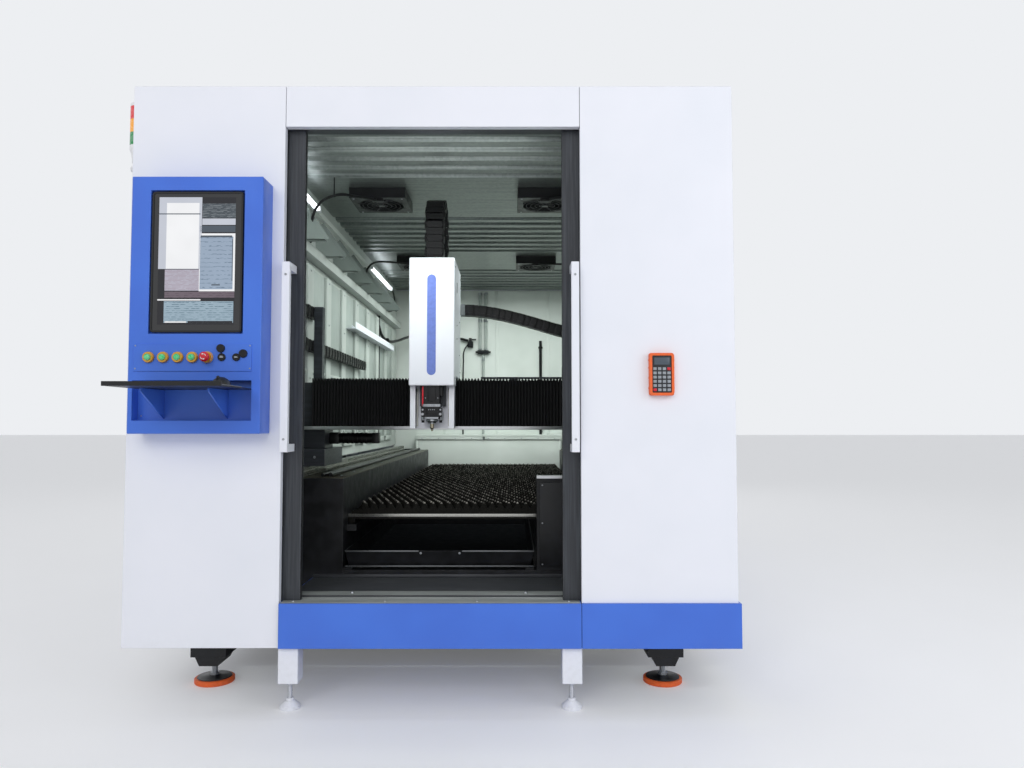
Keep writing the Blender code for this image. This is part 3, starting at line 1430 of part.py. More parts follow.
def button_plate():
    """The plate behind the buttons, with their fixed collars and two capped data ports."""
    back = CONSOLE_FACE - SEAT_GAP
    face = back - PLATE_SHEET
    plate = box(
        "button_plate",
        (PLATE_LEFT, PLATE_LEFT + PLATE_WIDTH),
        (face, back),
        (PLATE_LOW, PLATE_LOW + PLATE_HEIGHT),
        blue_paint,
    )
    collars = []
    bores = []
    for place in range(GREEN_BUTTONS + 1):
        radius = RING_RADIUS if place < GREEN_BUTTONS else STOP_RING_RADIUS
        spot = (button_x(place), face - RING_PROUD, BUTTON_Z)
        collars.append(disc("collar", spot, radius, RING_PROUD + PLATE_SHEET / 2, yellow_plastic))
        start = (button_x(place), face - RING_PROUD - CUT_OVERRUN, BUTTON_Z)
        bores.append(disc("bore", start, BUTTON_BORE, RING_PROUD + PLATE_SHEET + 2 * CUT_OVERRUN, yellow_plastic))
    for number, (cap_x, cap_z) in enumerate(PORT_CAP_OFFSETS):
        x = button_x(GREEN_BUTTONS + 1 + number)
        port = disc("port", (x, face - PORT_PROUD, BUTTON_Z), PORT_RADIUS, PORT_PROUD + PLATE_SHEET / 2, black_paint)
        spot = (x + cap_x, face - CAP_PROUD, BUTTON_Z + cap_z)
        cap = disc("cap", spot, CAP_RADIUS, CAP_PROUD + PLATE_SHEET / 2, black_paint)
        collars += [port, cap]
    unite(plate, *collars)
    return cut(plate, *bores)


def disc(name, front, radius, length, material, sides=DISC_SIDES):
    """A cylinder along Y that starts at its front and runs back."""
    return turned(name, [(0, 0), (radius, 0), (radius, -length), (0, -length)], front, "Y", material, sides)


def buttons():
    face = CONSOLE_FACE - SEAT_GAP - PLATE_SHEET
    front = face - RING_PROUD - BUTTON_PROUD
    inner_end = CONSOLE_FACE - SEAT_GAP - BUTTON_TRAVEL
    for place in range(GREEN_BUTTONS):
        spot = (button_x(place), front, BUTTON_Z)
        disc(f"green_button_{place + 1}", spot, BUTTON_RADIUS, inner_end - front, green_plastic)
    stop_front = face - RING_PROUD - STOP_PROUD
    length = CONSOLE_FACE - SEAT_GAP - STOP_TRAVEL - stop_front
    profile = [
        (0, 0),
        (STOP_FACE_RADIUS, 0),
        (STOP_RADIUS, -STOP_HEAD / 3),
        (STOP_RADIUS, -STOP_HEAD),
        (STOP_STEM_RADIUS, -STOP_HEAD),
        (STOP_STEM_RADIUS, -length),
        (0, -length),
    ]
    turned("emergency_stop", profile, (button_x(GREEN_BUTTONS), stop_front, BUTTON_Z), "Y", red_plastic, DISC_SIDES)


def keyboard_shelf():
    """A folded shelf on two gussets, bolted in the lower recess."""
    back = CONSOLE_FACE + KEYBOARD_RECESS_DEPTH - SEAT_GAP
    front = CONSOLE_FACE - TRAY_FRONT_REACH
    low = TRAY_Z
    high = TRAY_Z + TRAY_SHEET
    outline = [
        (back, low),
        (back, high),
        (front + TRAY_SHEET, high),
        (front + TRAY_SHEET, high + TRAY_TURN_UP),
        (front, high + TRAY_TURN_UP),
        (front, low),
    ]
    right = TRAY_LEFT + TRAY_WIDTH
    recess_right = KEYBOARD_RECESS_LEFT + KEYBOARD_RECESS_WIDTH
    shelf_right = min(right, recess_right - SEAT_GAP)
    shelf = prism("keyboard_shelf", outline, "X", (TRAY_LEFT, shelf_right), black_paint)
    gussets = []
    for share in GUSSET_X_SHARES:
        x = TRAY_LEFT + share * TRAY_WIDTH
        gusset = [
            (back, low + TRAY_SHEET / 2),
            (back - GUSSET_REACH, low + TRAY_SHEET / 2),
            (back - GUSSET_REACH, low - TRAY_TURN_UP),
            (back, low - GUSSET_DROP),
        ]
        gussets.append(prism("gusset", gusset, "X", (x, x + TRAY_SHEET), black_paint))
    unite(shelf, *gussets)
    left = TRAY_LEFT + TRAY_TURN_UP
    board_front = front + 2 * TRAY_SHEET
    low = high + SEAT_GAP
    board = [
        (board_front, low),
        (board_front + KEYBOARD_DEPTH, low),
        (board_front + KEYBOARD_DEPTH, low + KEYBOARD_HEIGHT),
        (board_front, low + KEYBOARD_HEIGHT - KEYBOARD_SLOPE),
    ]
    prism("keyboard", board, "X", (left, left + KEYBOARD_WIDTH), black_paint)


# Signal lamp and pendant

LAMP_RADIUS = 0.027
LAMP_REACH = 0.045
LAMP_Y = 0.12
LAMP_TOP = CABINET_TOP - 0.018
LAMP_CAP = 0.020
LAMP_STACK = 0.165
LAMP_CONE = 0.070
LAMP_FOOT_RADIUS = 0.016
LAMP_CROWN_RADIUS = 0.019
LAMP_POST_RADIUS = 0.012
LAMP_ARM = 0.018
PENDANT_X = HALF_DOORWAY + SIDE_PANEL_WIDTH / 2 + 0.010
PENDANT_WIDTH = 0.098
PENDANT_BOTTOM = 1.225
PENDANT_HEIGHT = 0.168
PENDANT_DEPTH = 0.028


def signal_lamp():
    """A three-colour stack on an arm from the left wall."""
    x = -HALF_WIDTH - LAMP_REACH
    bottom = LAMP_TOP - LAMP_CAP - LAMP_STACK - LAMP_CONE
    stack = turned(
        "signal_lamp",
        [
            (0, LAMP_TOP),
            (LAMP_CROWN_RADIUS, LAMP_TOP),
            (LAMP_RADIUS, LAMP_TOP - LAMP_CAP / 2),
            (LAMP_RADIUS, bottom + LAMP_CONE),
            (LAMP_FOOT_RADIUS, bottom),
            (0, bottom),
        ],
        (x, LAMP_Y, 0),
        "Z",
        white_paint,
    )
    foot_z = bottom - LAMP_ARM
    post = rod("post", (x, LAMP_Y, bottom + LAMP_ARM), LAMP_POST_RADIUS, 3 * LAMP_ARM, "Z", white_paint)
    arm = box(
        "arm",
        (x, -HALF_WIDTH - SEAT_GAP),
        (LAMP_Y - LAMP_ARM / 2, LAMP_Y + LAMP_ARM / 2),
        (foot_z - LAMP_ARM / 2, foot_z + LAMP_ARM / 2),
        white_paint,
    )
    return unite(stack, post, arm)


def pendant():
    """The wireless hand control, held on the right panel by its magnet."""
    half = PENDANT_WIDTH / 2
    return box(
        "hand_control",
        (PENDANT_X - half, PENDANT_X + half),
        (-SEAT_GAP - PENDANT_DEPTH, -SEAT_GAP),
        (PENDANT_BOTTOM, PENDANT_BOTTOM + PENDANT_HEIGHT),
        orange_rubber,
        EDGE_ROUND,
        2,
    )


def build_machine():
    front_panels()
    skirt_right()
    front_sill()
    side_walls()
    rear_wall()
    roof()
    fan_rotors()
    inner_wall()
    extraction_duct()
    laser_source()
    legs()
    bed_feet()
    bed_frame()
    scrap_drawer()
    junction_box()
    bed_rails()
    slat_table()
    gantry_beam()
    head_left = HEAD_X - HEAD_WIDTH / 2
    head_right = HEAD_X + HEAD_WIDTH / 2
    bellows("bellows_left", BEAM_LEFT + BELLOWS_END, head_left - SEAT_GAP)
    bellows("bellows_right", head_right + SEAT_GAP, BEAM_RIGHT - BELLOWS_END)
    x_chain()
    y_chain()
    arch_chain()
    head_cover()
    head_plate()
    z_slide()
    cutting_head()
    doors()
    door_track()
    console_box()
    monitor()
    button_plate()
    buttons()
    keyboard_shelf()
    signal_lamp()
    pendant()


def stand_on_origin():
    """Parents every piece to one empty that puts the machine's box centred over the origin."""
    left = -HALF_WIDTH - LAMP_REACH - LAMP_RADIUS
    right = HALF_WIDTH + SKIRT_PROUD
    front = CONSOLE_FACE - TRAY_FRONT_REACH
    back = CABINET_LENGTH
    base = bpy.data.objects.new("machine_base", None)
    base.location = (-(left + right) / 2, -(front + back) / 2, 0)
    machine.objects.link(base)
    for thing in list(machine.objects):
        if thing.type == "MESH":
            thing.parent = base


build_machine()
stand_on_origin()
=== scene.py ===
from math import cos, pi, radians, sin

import bmesh
import bpy
from mathutils import Matrix, Vector


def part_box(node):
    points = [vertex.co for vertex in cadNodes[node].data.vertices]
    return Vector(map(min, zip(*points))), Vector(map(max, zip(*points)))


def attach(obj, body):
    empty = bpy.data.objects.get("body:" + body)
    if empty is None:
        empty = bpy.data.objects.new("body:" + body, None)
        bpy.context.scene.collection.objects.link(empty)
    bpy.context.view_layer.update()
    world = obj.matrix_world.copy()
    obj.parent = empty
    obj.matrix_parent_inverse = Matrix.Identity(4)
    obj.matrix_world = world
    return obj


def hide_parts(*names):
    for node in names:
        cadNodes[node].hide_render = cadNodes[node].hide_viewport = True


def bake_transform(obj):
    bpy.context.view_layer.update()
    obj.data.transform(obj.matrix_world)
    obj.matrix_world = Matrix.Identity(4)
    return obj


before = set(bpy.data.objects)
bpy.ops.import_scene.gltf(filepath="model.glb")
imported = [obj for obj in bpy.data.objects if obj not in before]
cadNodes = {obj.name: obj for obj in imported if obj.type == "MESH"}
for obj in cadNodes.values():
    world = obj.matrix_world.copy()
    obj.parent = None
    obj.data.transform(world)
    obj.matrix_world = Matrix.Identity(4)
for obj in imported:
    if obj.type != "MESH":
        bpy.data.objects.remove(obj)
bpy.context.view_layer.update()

# Places are written from the front plane (y = 0) and the doorway's middle (x = 0), as on a drawing
headerLow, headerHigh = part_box("header_panel")
toWorld = Matrix.Translation(((headerLow[0] + headerHigh[0]) / 2, headerLow[1], 0))
worldShift = toWorld.to_translation()
mm = 0.001


def boxOf(node):
    low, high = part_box(node)
    return Vector(low) - worldShift, Vector(high) - worldShift


print("frame loaded:", len(cadNodes), "nodes")

# finishes

finishValues = {
    "whitePanel": "EDEFF7",
    "whitePanelShade": "E9ECF4",
    "blueSheet": "4677DE",
    "blueSheetShade": "416CD2",
    "lining": "DADFDB",
    "liningShade": "CDD3CE",
    # ceiling greys are set darker than bare galvanised sheet: painted shade of the cabin ceiling
    "ceiling": "626967",
    "ceilingStreak": "9CA3A0",
    "black": "0C0D0F",
    "blackDust": "1F2024",
    "graphite": "2B2E33",
    "graphiteStreak": "474B51",
    "peelMm": 3.0,  # orange peel of powder coat
    "smudgeMm": 320.0,
    "grainMm": 0.9,  # grinding lines, drawn coarser than real so that they show
}


def linear(hexColour):
    channels = [int(hexColour[i : i + 2], 16) / 255 for i in (0, 2, 4)]
    return tuple(c / 12.92 if c <= 0.04045 else ((c + 0.055) / 1.055) ** 2.4 for c in channels) + (1.0,)


mixColours = {"data_type": "RGBA"}  # colours go in sockets 6 and 7 and come out of 2


def addNode(tree, kind, inputs=(), settings=None, to=None):
    # Inputs are a list for the first sockets, or a dictionary; a node among them gives its first output.
    node = tree.nodes.new("ShaderNode" + kind)
    for name, value in (settings or {}).items():
        setattr(node, name, value)
    for socket, value in inputs.items() if isinstance(inputs, dict) else enumerate(inputs):
        if isinstance(value, bpy.types.Node):
            value = value.outputs[0]
        if isinstance(value, bpy.types.NodeSocket):
            tree.links.new(value, node.inputs[socket])
        else:
            node.inputs[socket].default_value = value
    if to is not None:
        tree.links.new(node.outputs[0], to)
    return node


def startFinish(name, slot, roughness, metallic=0.0, ior=1.5, **shaderInputs):
    material = bpy.data.materials.new(name)
    material.use_nodes = True
    tree = material.node_tree
    shader = tree.nodes["Principled BSDF"]
    shader.inputs["Roughness"].default_value = roughness
    shader.inputs["Metallic"].default_value = metallic
    shader.inputs["IOR"].default_value = ior
    for socket, value in shaderInputs.items():
        shader.inputs[socket.replace("_", " ")].default_value = value
    place = addNode(tree, "TexCoord").outputs["Object"]
    return material, tree, shader, place


def cloudPattern(tree, place, sizeMm, stretch=(1, 1, 1), detail=3.0, rough=0.55):
    # A cloudy pattern of a real size: its blobs are about sizeMm across, drawn out by stretch.
    scale = tuple(1 / (mm * sizeMm * factor) for factor in stretch)
    mapped = addNode(tree, "Mapping", {"Vector": place, "Scale": scale})
    return addNode(
        tree,
        "TexNoise",
        {"Vector": mapped.outputs["Vector"], "Scale": 1.0, "Detail": detail, "Roughness": rough},
    ).outputs["Fac"]


def edgeMask(tree, radiusMm):
    # White along outer edges: where a rounded normal leaves the true one.
    rounded = addNode(tree, "Bevel", {"Radius": radiusMm * mm}, {"samples": 4}).outputs["Normal"]
    true = addNode(tree, "NewGeometry").outputs["Normal"]
    node = addNode(tree, "VectorMath", {0: rounded, 1: true}, {"operation": "DOT_PRODUCT"})
    return addNode(tree, "MapRange", [node.outputs["Value"], 0.995, 0.85]).outputs[0], rounded


def powderCoat(name, slot, main, shade, roughness=0.38, lining=None, dustTop=0.0):
    # Polyester powder coat on folded sheet: even colour, a fine orange peel and soft edges.
    material, tree, shader, place = startFinish(name, slot, roughness)
    cloud = cloudPattern(tree, place, finishValues["smudgeMm"], detail=2.0)
    colour = addNode(
        tree,
        "Mix",
        {0: addNode(tree, "MapRange", [cloud, 0.35, 0.75]), 6: linear(main), 7: linear(shade)},
        mixColours,
    ).outputs[2]
    if lining:  # the inner side of a wall has the cabin's own enamel
        axis, level, sign, inner = lining
        side = addNode(
            tree,
            "Math",
            [addNode(tree, "SeparateXYZ", [place]).outputs[axis], level],
            {"operation": "GREATER_THAN"},
        ).outputs[0]
        share = side if sign > 0 else addNode(
            tree, "Math", [1.0, side], {"operation": "SUBTRACT"}
        ).outputs[0]
        colour = addNode(tree, "Mix", {0: share, 6: colour, 7: linear(inner)}, mixColours).outputs[2]
    if dustTop:  # workshop dust low on the panels
        low = addNode(
            tree, "MapRange", [addNode(tree, "SeparateXYZ", [place]).outputs["Z"], dustTop, 0.0]
        ).outputs[0]
        dusty = addNode(
            tree,
            "Math",
            [low, addNode(tree, "MapRange", [cloudPattern(tree, place, 22), 0.45, 0.8, 0.0, 0.22])],
            {"operation": "MULTIPLY"},
        ).outputs[0]
        colour = addNode(tree, "Mix", {0: dusty, 6: colour, 7: linear("9C9A94")}, mixColours).outputs[2]
    tree.links.new(colour, shader.inputs["Base Color"])
    smear = cloudPattern(tree, place, 60, stretch=(1, 1, 3))
    addNode(
        tree,
        "MapRange",
        [smear, 0.3, 0.8, roughness - 0.05, roughness + 0.1],
        to=shader.inputs["Roughness"],
    )
    rounded = addNode(tree, "Bevel", {"Radius": 2.5 * mm}, {"samples": 4}).outputs["Normal"]
    addNode(
        tree,
        "Bump",
        {
            "Height": cloudPattern(tree, place, finishValues["peelMm"], detail=1.0),
            "Distance": 0.12 * mm,
            "Strength": 0.35,
            "Normal": rounded,
        },
        to=shader.inputs["Normal"],
    )
    return material


def darkEnamel(name, slot, main, dust, roughness=0.45, streakAxis=None, wear=0.35):
    # Brushed-on machine enamel: near black, dusty on top, rubbed bright along its edges.
    material, tree, shader, place = startFinish(name, slot, roughness)
    stretch = {None: (1, 1, 1), "X": (30, 1, 1), "Y": (1, 30, 1), "Z": (1, 1, 30)}[streakAxis]
    cloud = cloudPattern(tree, place, 9 if streakAxis else 45, stretch, detail=4.0)
    colour = addNode(
        tree,
        "Mix",
        {0: addNode(tree, "MapRange", [cloud, 0.42, 0.8]), 6: linear(main), 7: linear(dust)},
        mixColours,
    ).outputs[2]
    edge, rounded = edgeMask(tree, 2.0)
    worn = addNode(
        tree,
        "Math",
        [edge, addNode(tree, "MapRange", [cloudPattern(tree, place, 6), 0.45, 0.7, 0.0, wear])],
        {"operation": "MULTIPLY"},
    ).outputs[0]
    colour = addNode(tree, "Mix", {0: worn, 6: colour, 7: linear("A8A8A6")}, mixColours).outputs[2]
    tree.links.new(colour, shader.inputs["Base Color"])
    addNode(
        tree,
        "MapRange",
        [cloud, 0.3, 0.8, roughness - 0.08, roughness + 0.15],
        to=shader.inputs["Roughness"],
    )
    addNode(
        tree,
        "Bump",
        {
            "Height": cloudPattern(tree, place, 4, stretch, detail=2.0),
            "Distance": 0.15 * mm,
            "Strength": 0.4,
            "Normal": rounded,
        },
        to=shader.inputs["Normal"],
    )
    return material


def bareMetal(name, slot, main, shade, roughness, streakAxis="Y", depth=0.05, stains=0.0):
    # Ground, rolled or brushed steel and aluminium, with its lines along one axis.
    material, tree, shader, place = startFinish(name, slot, roughness, metallic=1.0)
    stretch = {"X": (60, 1, 1), "Y": (1, 60, 1), "Z": (1, 1, 60)}[streakAxis]
    lines = cloudPattern(tree, place, finishValues["grainMm"] * 3, stretch, detail=4.0, rough=0.7)
    colour = addNode(
        tree,
        "Mix",
        {0: addNode(tree, "MapRange", [lines, 0.3, 0.75]), 6: linear(shade), 7: linear(main)},
        mixColours,
    ).outputs[2]
    if stains:
        colour = addNode(
            tree,
            "Mix",
            {
                0: addNode(tree, "MapRange", [cloudPattern(tree, place, 35), 0.5, 0.75, 0.0, stains]),
                6: colour,
                7: linear("5A5346"),
            },
            mixColours,
        ).outputs[2]
    tree.links.new(colour, shader.inputs["Base Color"])
    addNode(
        tree,
        "MapRange",
        [lines, 0.2, 0.8, roughness + 0.12, roughness - 0.05],
        to=shader.inputs["Roughness"],
    )
    addNode(
        tree, "Bump", {"Height": lines, "Distance": depth * mm, "Strength": 0.5}, to=shader.inputs["Normal"]
    )
    return material


def mouldedPlastic(name, slot, main, roughness=0.4, grainMm=1.2, depth=0.05, **shaderInputs):
    # Injection moulded ABS or nylon: spark-eroded grain, a little gloss.
    material, tree, shader, place = startFinish(name, slot, roughness, ior=1.53, **shaderInputs)
    base = linear(main)
    darker = tuple(channel * 0.82 for channel in base[:3]) + (1.0,)
    cloud = cloudPattern(tree, place, 14, detail=2.0)
    tree.links.new(
        addNode(
            tree, "Mix", {0: addNode(tree, "MapRange", [cloud, 0.35, 0.8]), 6: base, 7: darker}, mixColours
        ).outputs[2],
        shader.inputs["Base Color"],
    )
    grain = cloudPattern(tree, place, grainMm, detail=1.0)
    addNode(
        tree,
        "MapRange",
        [grain, 0.2, 0.8, roughness - 0.04, roughness + 0.08],
        to=shader.inputs["Roughness"],
    )
    addNode(
        tree, "Bump", {"Height": grain, "Distance": depth * mm, "Strength": 0.5}, to=shader.inputs["Normal"]
    )
    return material


def litPlastic(name, slot, main, strength, roughness=0.25):
    # A lens or lit field: it glows in its own colour.
    material, tree, shader, place = startFinish(name, slot, roughness, ior=1.49)
    cloud = cloudPattern(tree, place, 8, detail=1.0)
    colour = addNode(
        tree,
        "Mix",
        {
            0: addNode(tree, "MapRange", [cloud, 0.3, 0.8, 0.0, 0.25]),
            6: linear(main),
            7: (1.0, 1.0, 1.0, 1.0),
        },
        mixColours,
    ).outputs[2]
    tree.links.new(colour, shader.inputs["Base Color"])
    shader.inputs["Emission Color"].default_value = linear(main)
    shader.inputs["Emission Strength"].default_value = strength
    return material


v = finishValues
wallRightX = boxOf("side_wall_right")[1].x - 0.015 + worldShift.x
roofTopZ = boxOf("roof")[1].z - 0.02
# Polyester powder on folded sheet: clean cool white with a soft, low gloss.
whitePowder = powderCoat(
    "whitePowderCoat", "white_paint", v["whitePanel"], v["whitePanelShade"], dustTop=0.32
)
# The same powder outside, with the pale green-grey lining on the inner face.
whiteSide = powderCoat(
    "whitePowderCoatSide",
    "white_paint",
    v["whitePanel"],
    v["whitePanelShade"],
    lining=("X", wallRightX, -1, v["lining"]),
    dustTop=0.32,
)
# Saturated blue powder on the sill, skirt and console: even, a little glossier than the white.
bluePowder = powderCoat(
    "bluePowderCoat", "blue_paint", v["blueSheet"], v["blueSheetShade"], 0.36, dustTop=0.30
)
# Sprayed enamel on the ribbed wall, set greyer than the rear lining as painted shade of the left wall, so
# that its posts stand out in light and shade.
wallShadedEnamel = powderCoat("leftLiningShadedEnamel", "grey_paint", "B9BFBB", "A9AFAB", 0.45)
# Sprayed enamel on flat lining: pale, faintly green under the lamps.
cabinEnamel = powderCoat("cabinLiningEnamel", "grey_paint", v["lining"], v["liningShade"], 0.42)
# Enamel on the welded bed: nearly black, with dust on it and rubbed edges.
blackEnamel = darkEnamel("blackBedEnamel", "black_paint", v["black"], v["blackDust"])
# Satin black paint on small castings and sheet: dark and even.
satinBlack = darkEnamel("satinBlackPaint", "black_paint", "0B0B0D", "141417", 0.38, wear=0.15)
# Graphite paint on drawn door profiles: dark grey with upright streaks.
graphiteSheet = darkEnamel(
    "graphiteProfilePaint", "graphite_steel", v["graphite"], v["graphiteStreak"], 0.4, "Z", wear=0.5
)
# Graphite paint on the beam: blue-grey, smooth, streaked along its length.
gantryPaint = darkEnamel("graphiteBeamPaint", "graphite_steel", "2B2E33", "3C4047", 0.42, "X", wear=0.3)
# Ground guide rail: bright, with fine lines along the travel.
groundSteel = bareMetal("groundRailSteel", "bright_steel", "D2D1CB", "A7A69F", 0.26)
# Zinc-plated screws and clips: light grey glints.
zincSteel = bareMetal("zincPlatedSteel", "bright_steel", "C9CCD0", "9EA2A6", 0.3, "Z")
# Brushed aluminium plates: the brightest metal, with lines across.
brushedAluminium = bareMetal("brushedAluminium", "bright_steel", "E4E5E6", "C2C4C6", 0.28, "X")
# Nickelled brass nozzle: warm and shiny, turned.
nickelBrass = bareMetal("nickelledNozzle", "bright_steel", "E6DFCB", "B9AE92", 0.2, "Z")
# Steel tread plate: mid grey, scuffed pale where people step.
sillSteel = darkEnamel("scuffedSillSteel", "bright_steel", "8A8E8D", "B5B9B8", 0.45, "X", wear=0.6)
# Oiled steel covers along the rails: brown-grey, stained.
railCoverSteel = bareMetal(
    "oiledCoverSteel", "bright_steel", "8F8B7C", "5C594D", 0.4, "Y", 0.06, stains=0.5
)
# Coated bellows cloth: dull, deep black folds.
bellowsCloth = mouldedPlastic("coatedBellowsCloth", "bellows_cloth", "050506", 0.62, 1.0, 0.1)
# Moulded nylon chain links: black with a low gloss on every edge.
chainNylon = mouldedPlastic("blackChainNylon", "chain_plastic", "0D0D0E", 0.40)
# Moulded ABS keys and valves: soft charcoal.
blackAbs = mouldedPlastic("blackKeyboardAbs", "black_plastic", "1B1C1F", 0.45)
# Rubber caps and seals: matt black.
darkRubber = mouldedPlastic("blackCapRubber", "chain_plastic", "0E0E10", 0.6, 0.8)
# PVC sheath: black with a long thin highlight.
cableSheath = mouldedPlastic("blackCableSheath", "chain_plastic", "111113", 0.35, 2.0)
# Lit acrylic cap: a clear green dot.
greenLens = litPlastic("greenPushLens", "green_plastic", "1FB86A", 0.25)
# Glossy white ABS of the lamp holders and the signal lamp.
whiteAbs = mouldedPlastic("whiteLampAbs", "white_paint", "F0F1F4", 0.35)
# Red, amber and green lenses of the signal lamp: bright bands, hardly lit.
redLens = litPlastic("redLampLens", "red_plastic", "D8202C", 0.12)
amberLens = litPlastic("amberLampLens", "red_plastic", "F3A21B", 0.15)
greenStackLens = litPlastic("greenLampLens", "green_plastic", "1E8A4C", 0.10)
# Glossy red ABS of the stop.
redAbs = mouldedPlastic("redMushroomAbs", "red_plastic", "D21F30", 0.28)
# Yellow-orange ABS collars round the buttons.
yellowAbs = mouldedPlastic("yellowCollarAbs", "orange_rubber", "E3A52C", 0.32)
# Soft orange rubber of the guard and the feet: matt and warm.
orangeRubber = mouldedPlastic("orangeRubber", "orange_rubber", "F0692E", 0.5)
# Blue acrylic strip on the cover: smooth and glossy.
stripeAcrylic = mouldedPlastic("blueStripeAcrylic", "blue_paint", "6C80CC", 0.2)
# Frosted tube over diodes: burns out to white.
ledTube = litPlastic("ledTube", "window_glass", "F4FAFF", 5.0)
# Woven pad: flat mid grey.
mousePadCloth = mouldedPlastic("greyMousePadCloth", "black_plastic", "8C8F94", 0.8, 1.5, 0.15)


def slatSteelFinish():
    # Laser-cut mild steel: brown scale low down, spatter-bright points where the torch burns the tips.
    material, tree, shader, place = startFinish("spatteredSlatSteel", "slat_steel", 0.42, metallic=0.9)
    top = boxOf("slat_table")[1].z
    scale = cloudPattern(tree, place, 7, detail=5.0, rough=0.7)
    colour = addNode(
        tree,
        "Mix",
        {0: addNode(tree, "MapRange", [scale, 0.35, 0.7]), 6: linear("0E0E0D"), 7: linear("2A2925")},
        mixColours,
    ).outputs[2]
    tips = addNode(
        tree, "MapRange", [addNode(tree, "SeparateXYZ", [place]).outputs["Z"], top - 0.009, top - 0.001]
    ).outputs[0]
    bright = addNode(
        tree,
        "Math",
        [tips, addNode(tree, "MapRange", [cloudPattern(tree, place, 16), 0.44, 0.60, 0.10, 1.0])],
        {"operation": "MULTIPLY"},
    ).outputs[0]
    colour = addNode(tree, "Mix", {0: bright, 6: colour, 7: linear("DAD7CC")}, mixColours).outputs[2]
    tree.links.new(colour, shader.inputs["Base Color"])
    addNode(tree, "MapRange", [scale, 0.3, 0.7, 0.3, 0.6], to=shader.inputs["Roughness"])
    addNode(
        tree, "Bump", {"Height": scale, "Distance": 0.4 * mm, "Strength": 0.7}, to=shader.inputs["Normal"]
    )
    return material


def ceilingSteelFinish():
    # Galvanised trapezoid sheet: rolled streaks across the machine, spangle, and white paint above. Its grey
    # is set darker than bare zinc as painted shade of the cabin ceiling.
    material, tree, shader, place = startFinish("galvanisedCeilingShadedSheet", "grey_paint", 0.36, metallic=0.75)
    streaks = cloudPattern(tree, place, 12, stretch=(60, 1, 1), detail=4.0)
    colour = addNode(
        tree,
        "Mix",
        {
            0: addNode(tree, "MapRange", [streaks, 0.3, 0.75]),
            6: linear(v["ceiling"]),
            7: linear(v["ceilingStreak"]),
        },
        mixColours,
    ).outputs[2]
    spangle = addNode(tree, "TexVoronoi", {"Vector": place, "Scale": 1 / (14 * mm)}).outputs["Color"]
    grey = addNode(tree, "RGBToBW", {"Color": spangle}).outputs["Val"]
    colour = addNode(
        tree,
        "Mix",
        {0: addNode(tree, "MapRange", [grey, 0.0, 1.0, 0.0, 0.12]), 6: colour, 7: linear("E8ECEA")},
        mixColours,
    ).outputs[2]
    above = addNode(
        tree,
        "Math",
        [addNode(tree, "SeparateXYZ", [place]).outputs["Z"], roofTopZ],
        {"operation": "GREATER_THAN"},
    ).outputs[0]
    colour = addNode(tree, "Mix", {0: above, 6: colour, 7: linear(v["whitePanel"])}, mixColours).outputs[2]
    tree.links.new(colour, shader.inputs["Base Color"])
    addNode(tree, "MapRange", [above, 0.0, 1.0, 0.75, 0.0], to=shader.inputs["Metallic"])
    addNode(tree, "MapRange", [streaks, 0.2, 0.8, 0.3, 0.48], to=shader.inputs["Roughness"])
    addNode(
        tree,
        "Bump",
        {"Height": streaks, "Distance": 0.15 * mm, "Strength": 0.4},
        to=shader.inputs["Normal"],
    )
    return material


def screenGlassFinish():
    # Toughened glass over a black mask: deep black, mirror-smooth, with faint wipe marks.
    material, tree, shader, place = startFinish(
        "touchScreenGlass", "screen_glass", 0.06, ior=1.52, Coat_Weight=0.6
    )
    wipes = cloudPattern(tree, place, 40, stretch=(1, 1, 4), detail=4.0)
    tree.links.new(
        addNode(tree, "Mix", {0: wipes, 6: linear("050506"), 7: linear("101013")}, mixColours).outputs[2],
        shader.inputs["Base Color"],
    )
    addNode(tree, "MapRange", [wipes, 0.4, 0.8, 0.04, 0.14], to=shader.inputs["Roughness"])
    return material


def screenField(name, colour, strength=0.75, lineColour=None, lineMm=9.0, share=0.35):
    # A lit field of the display: plain, or with rows of short marks that stand for entries.
    material, tree, shader, place = startFinish(name, "screen_glass", 0.2, ior=1.5)
    shade = addNode(
        tree,
        "Mix",
        {
            0: cloudPattern(tree, place, 90, detail=1.0),
            6: linear(colour),
            7: tuple(c * 0.88 for c in linear(colour)),
        },
        mixColours,
    ).outputs[2]
    if lineColour:
        rows = addNode(
            tree,
            "Math",
            [addNode(tree, "SeparateXYZ", [place]).outputs["Z"], lineMm * mm],
            {"operation": "MODULO"},
        ).outputs[0]
        onRow = addNode(tree, "Math", [rows, lineMm * mm * 0.28], {"operation": "LESS_THAN"}).outputs[0]
        words = addNode(
            tree,
            "Math",
            [cloudPattern(tree, place, 5, stretch=(3, 1, 0.4), detail=0.0), 1 - share],
            {"operation": "GREATER_THAN"},
        ).outputs[0]
        shade = addNode(
            tree,
            "Mix",
            {
                0: addNode(tree, "Math", [onRow, words], {"operation": "MULTIPLY"}),
                6: shade,
                7: linear(lineColour),
            },
            mixColours,
        ).outputs[2]
    shader.inputs["Base Color"].default_value = linear("0A0A0C")
    tree.links.new(shade, shader.inputs["Emission Color"])
    shader.inputs["Emission Strength"].default_value = strength * 0.85
    return material


def tintedWindowFinish():
    # Laser-safe acrylic, green tinted through its thickness.
    material, tree, shader, place = startFinish("tintedAcrylicWindow", "window_glass", 0.08, ior=1.49)
    shader.inputs["Transmission Weight"].default_value = 0.9
    haze = cloudPattern(tree, place, 120, detail=2.0)
    tree.links.new(
        addNode(tree, "Mix", {0: haze, 6: linear("2F6B45"), 7: linear("3B7A52")}, mixColours).outputs[2],
        shader.inputs["Base Color"],
    )
    return material


slatSteel = slatSteelFinish()
ceilingSteel = ceilingSteelFinish()
screenGlass = screenGlassFinish()
windowAcrylic = tintedWindowFinish()

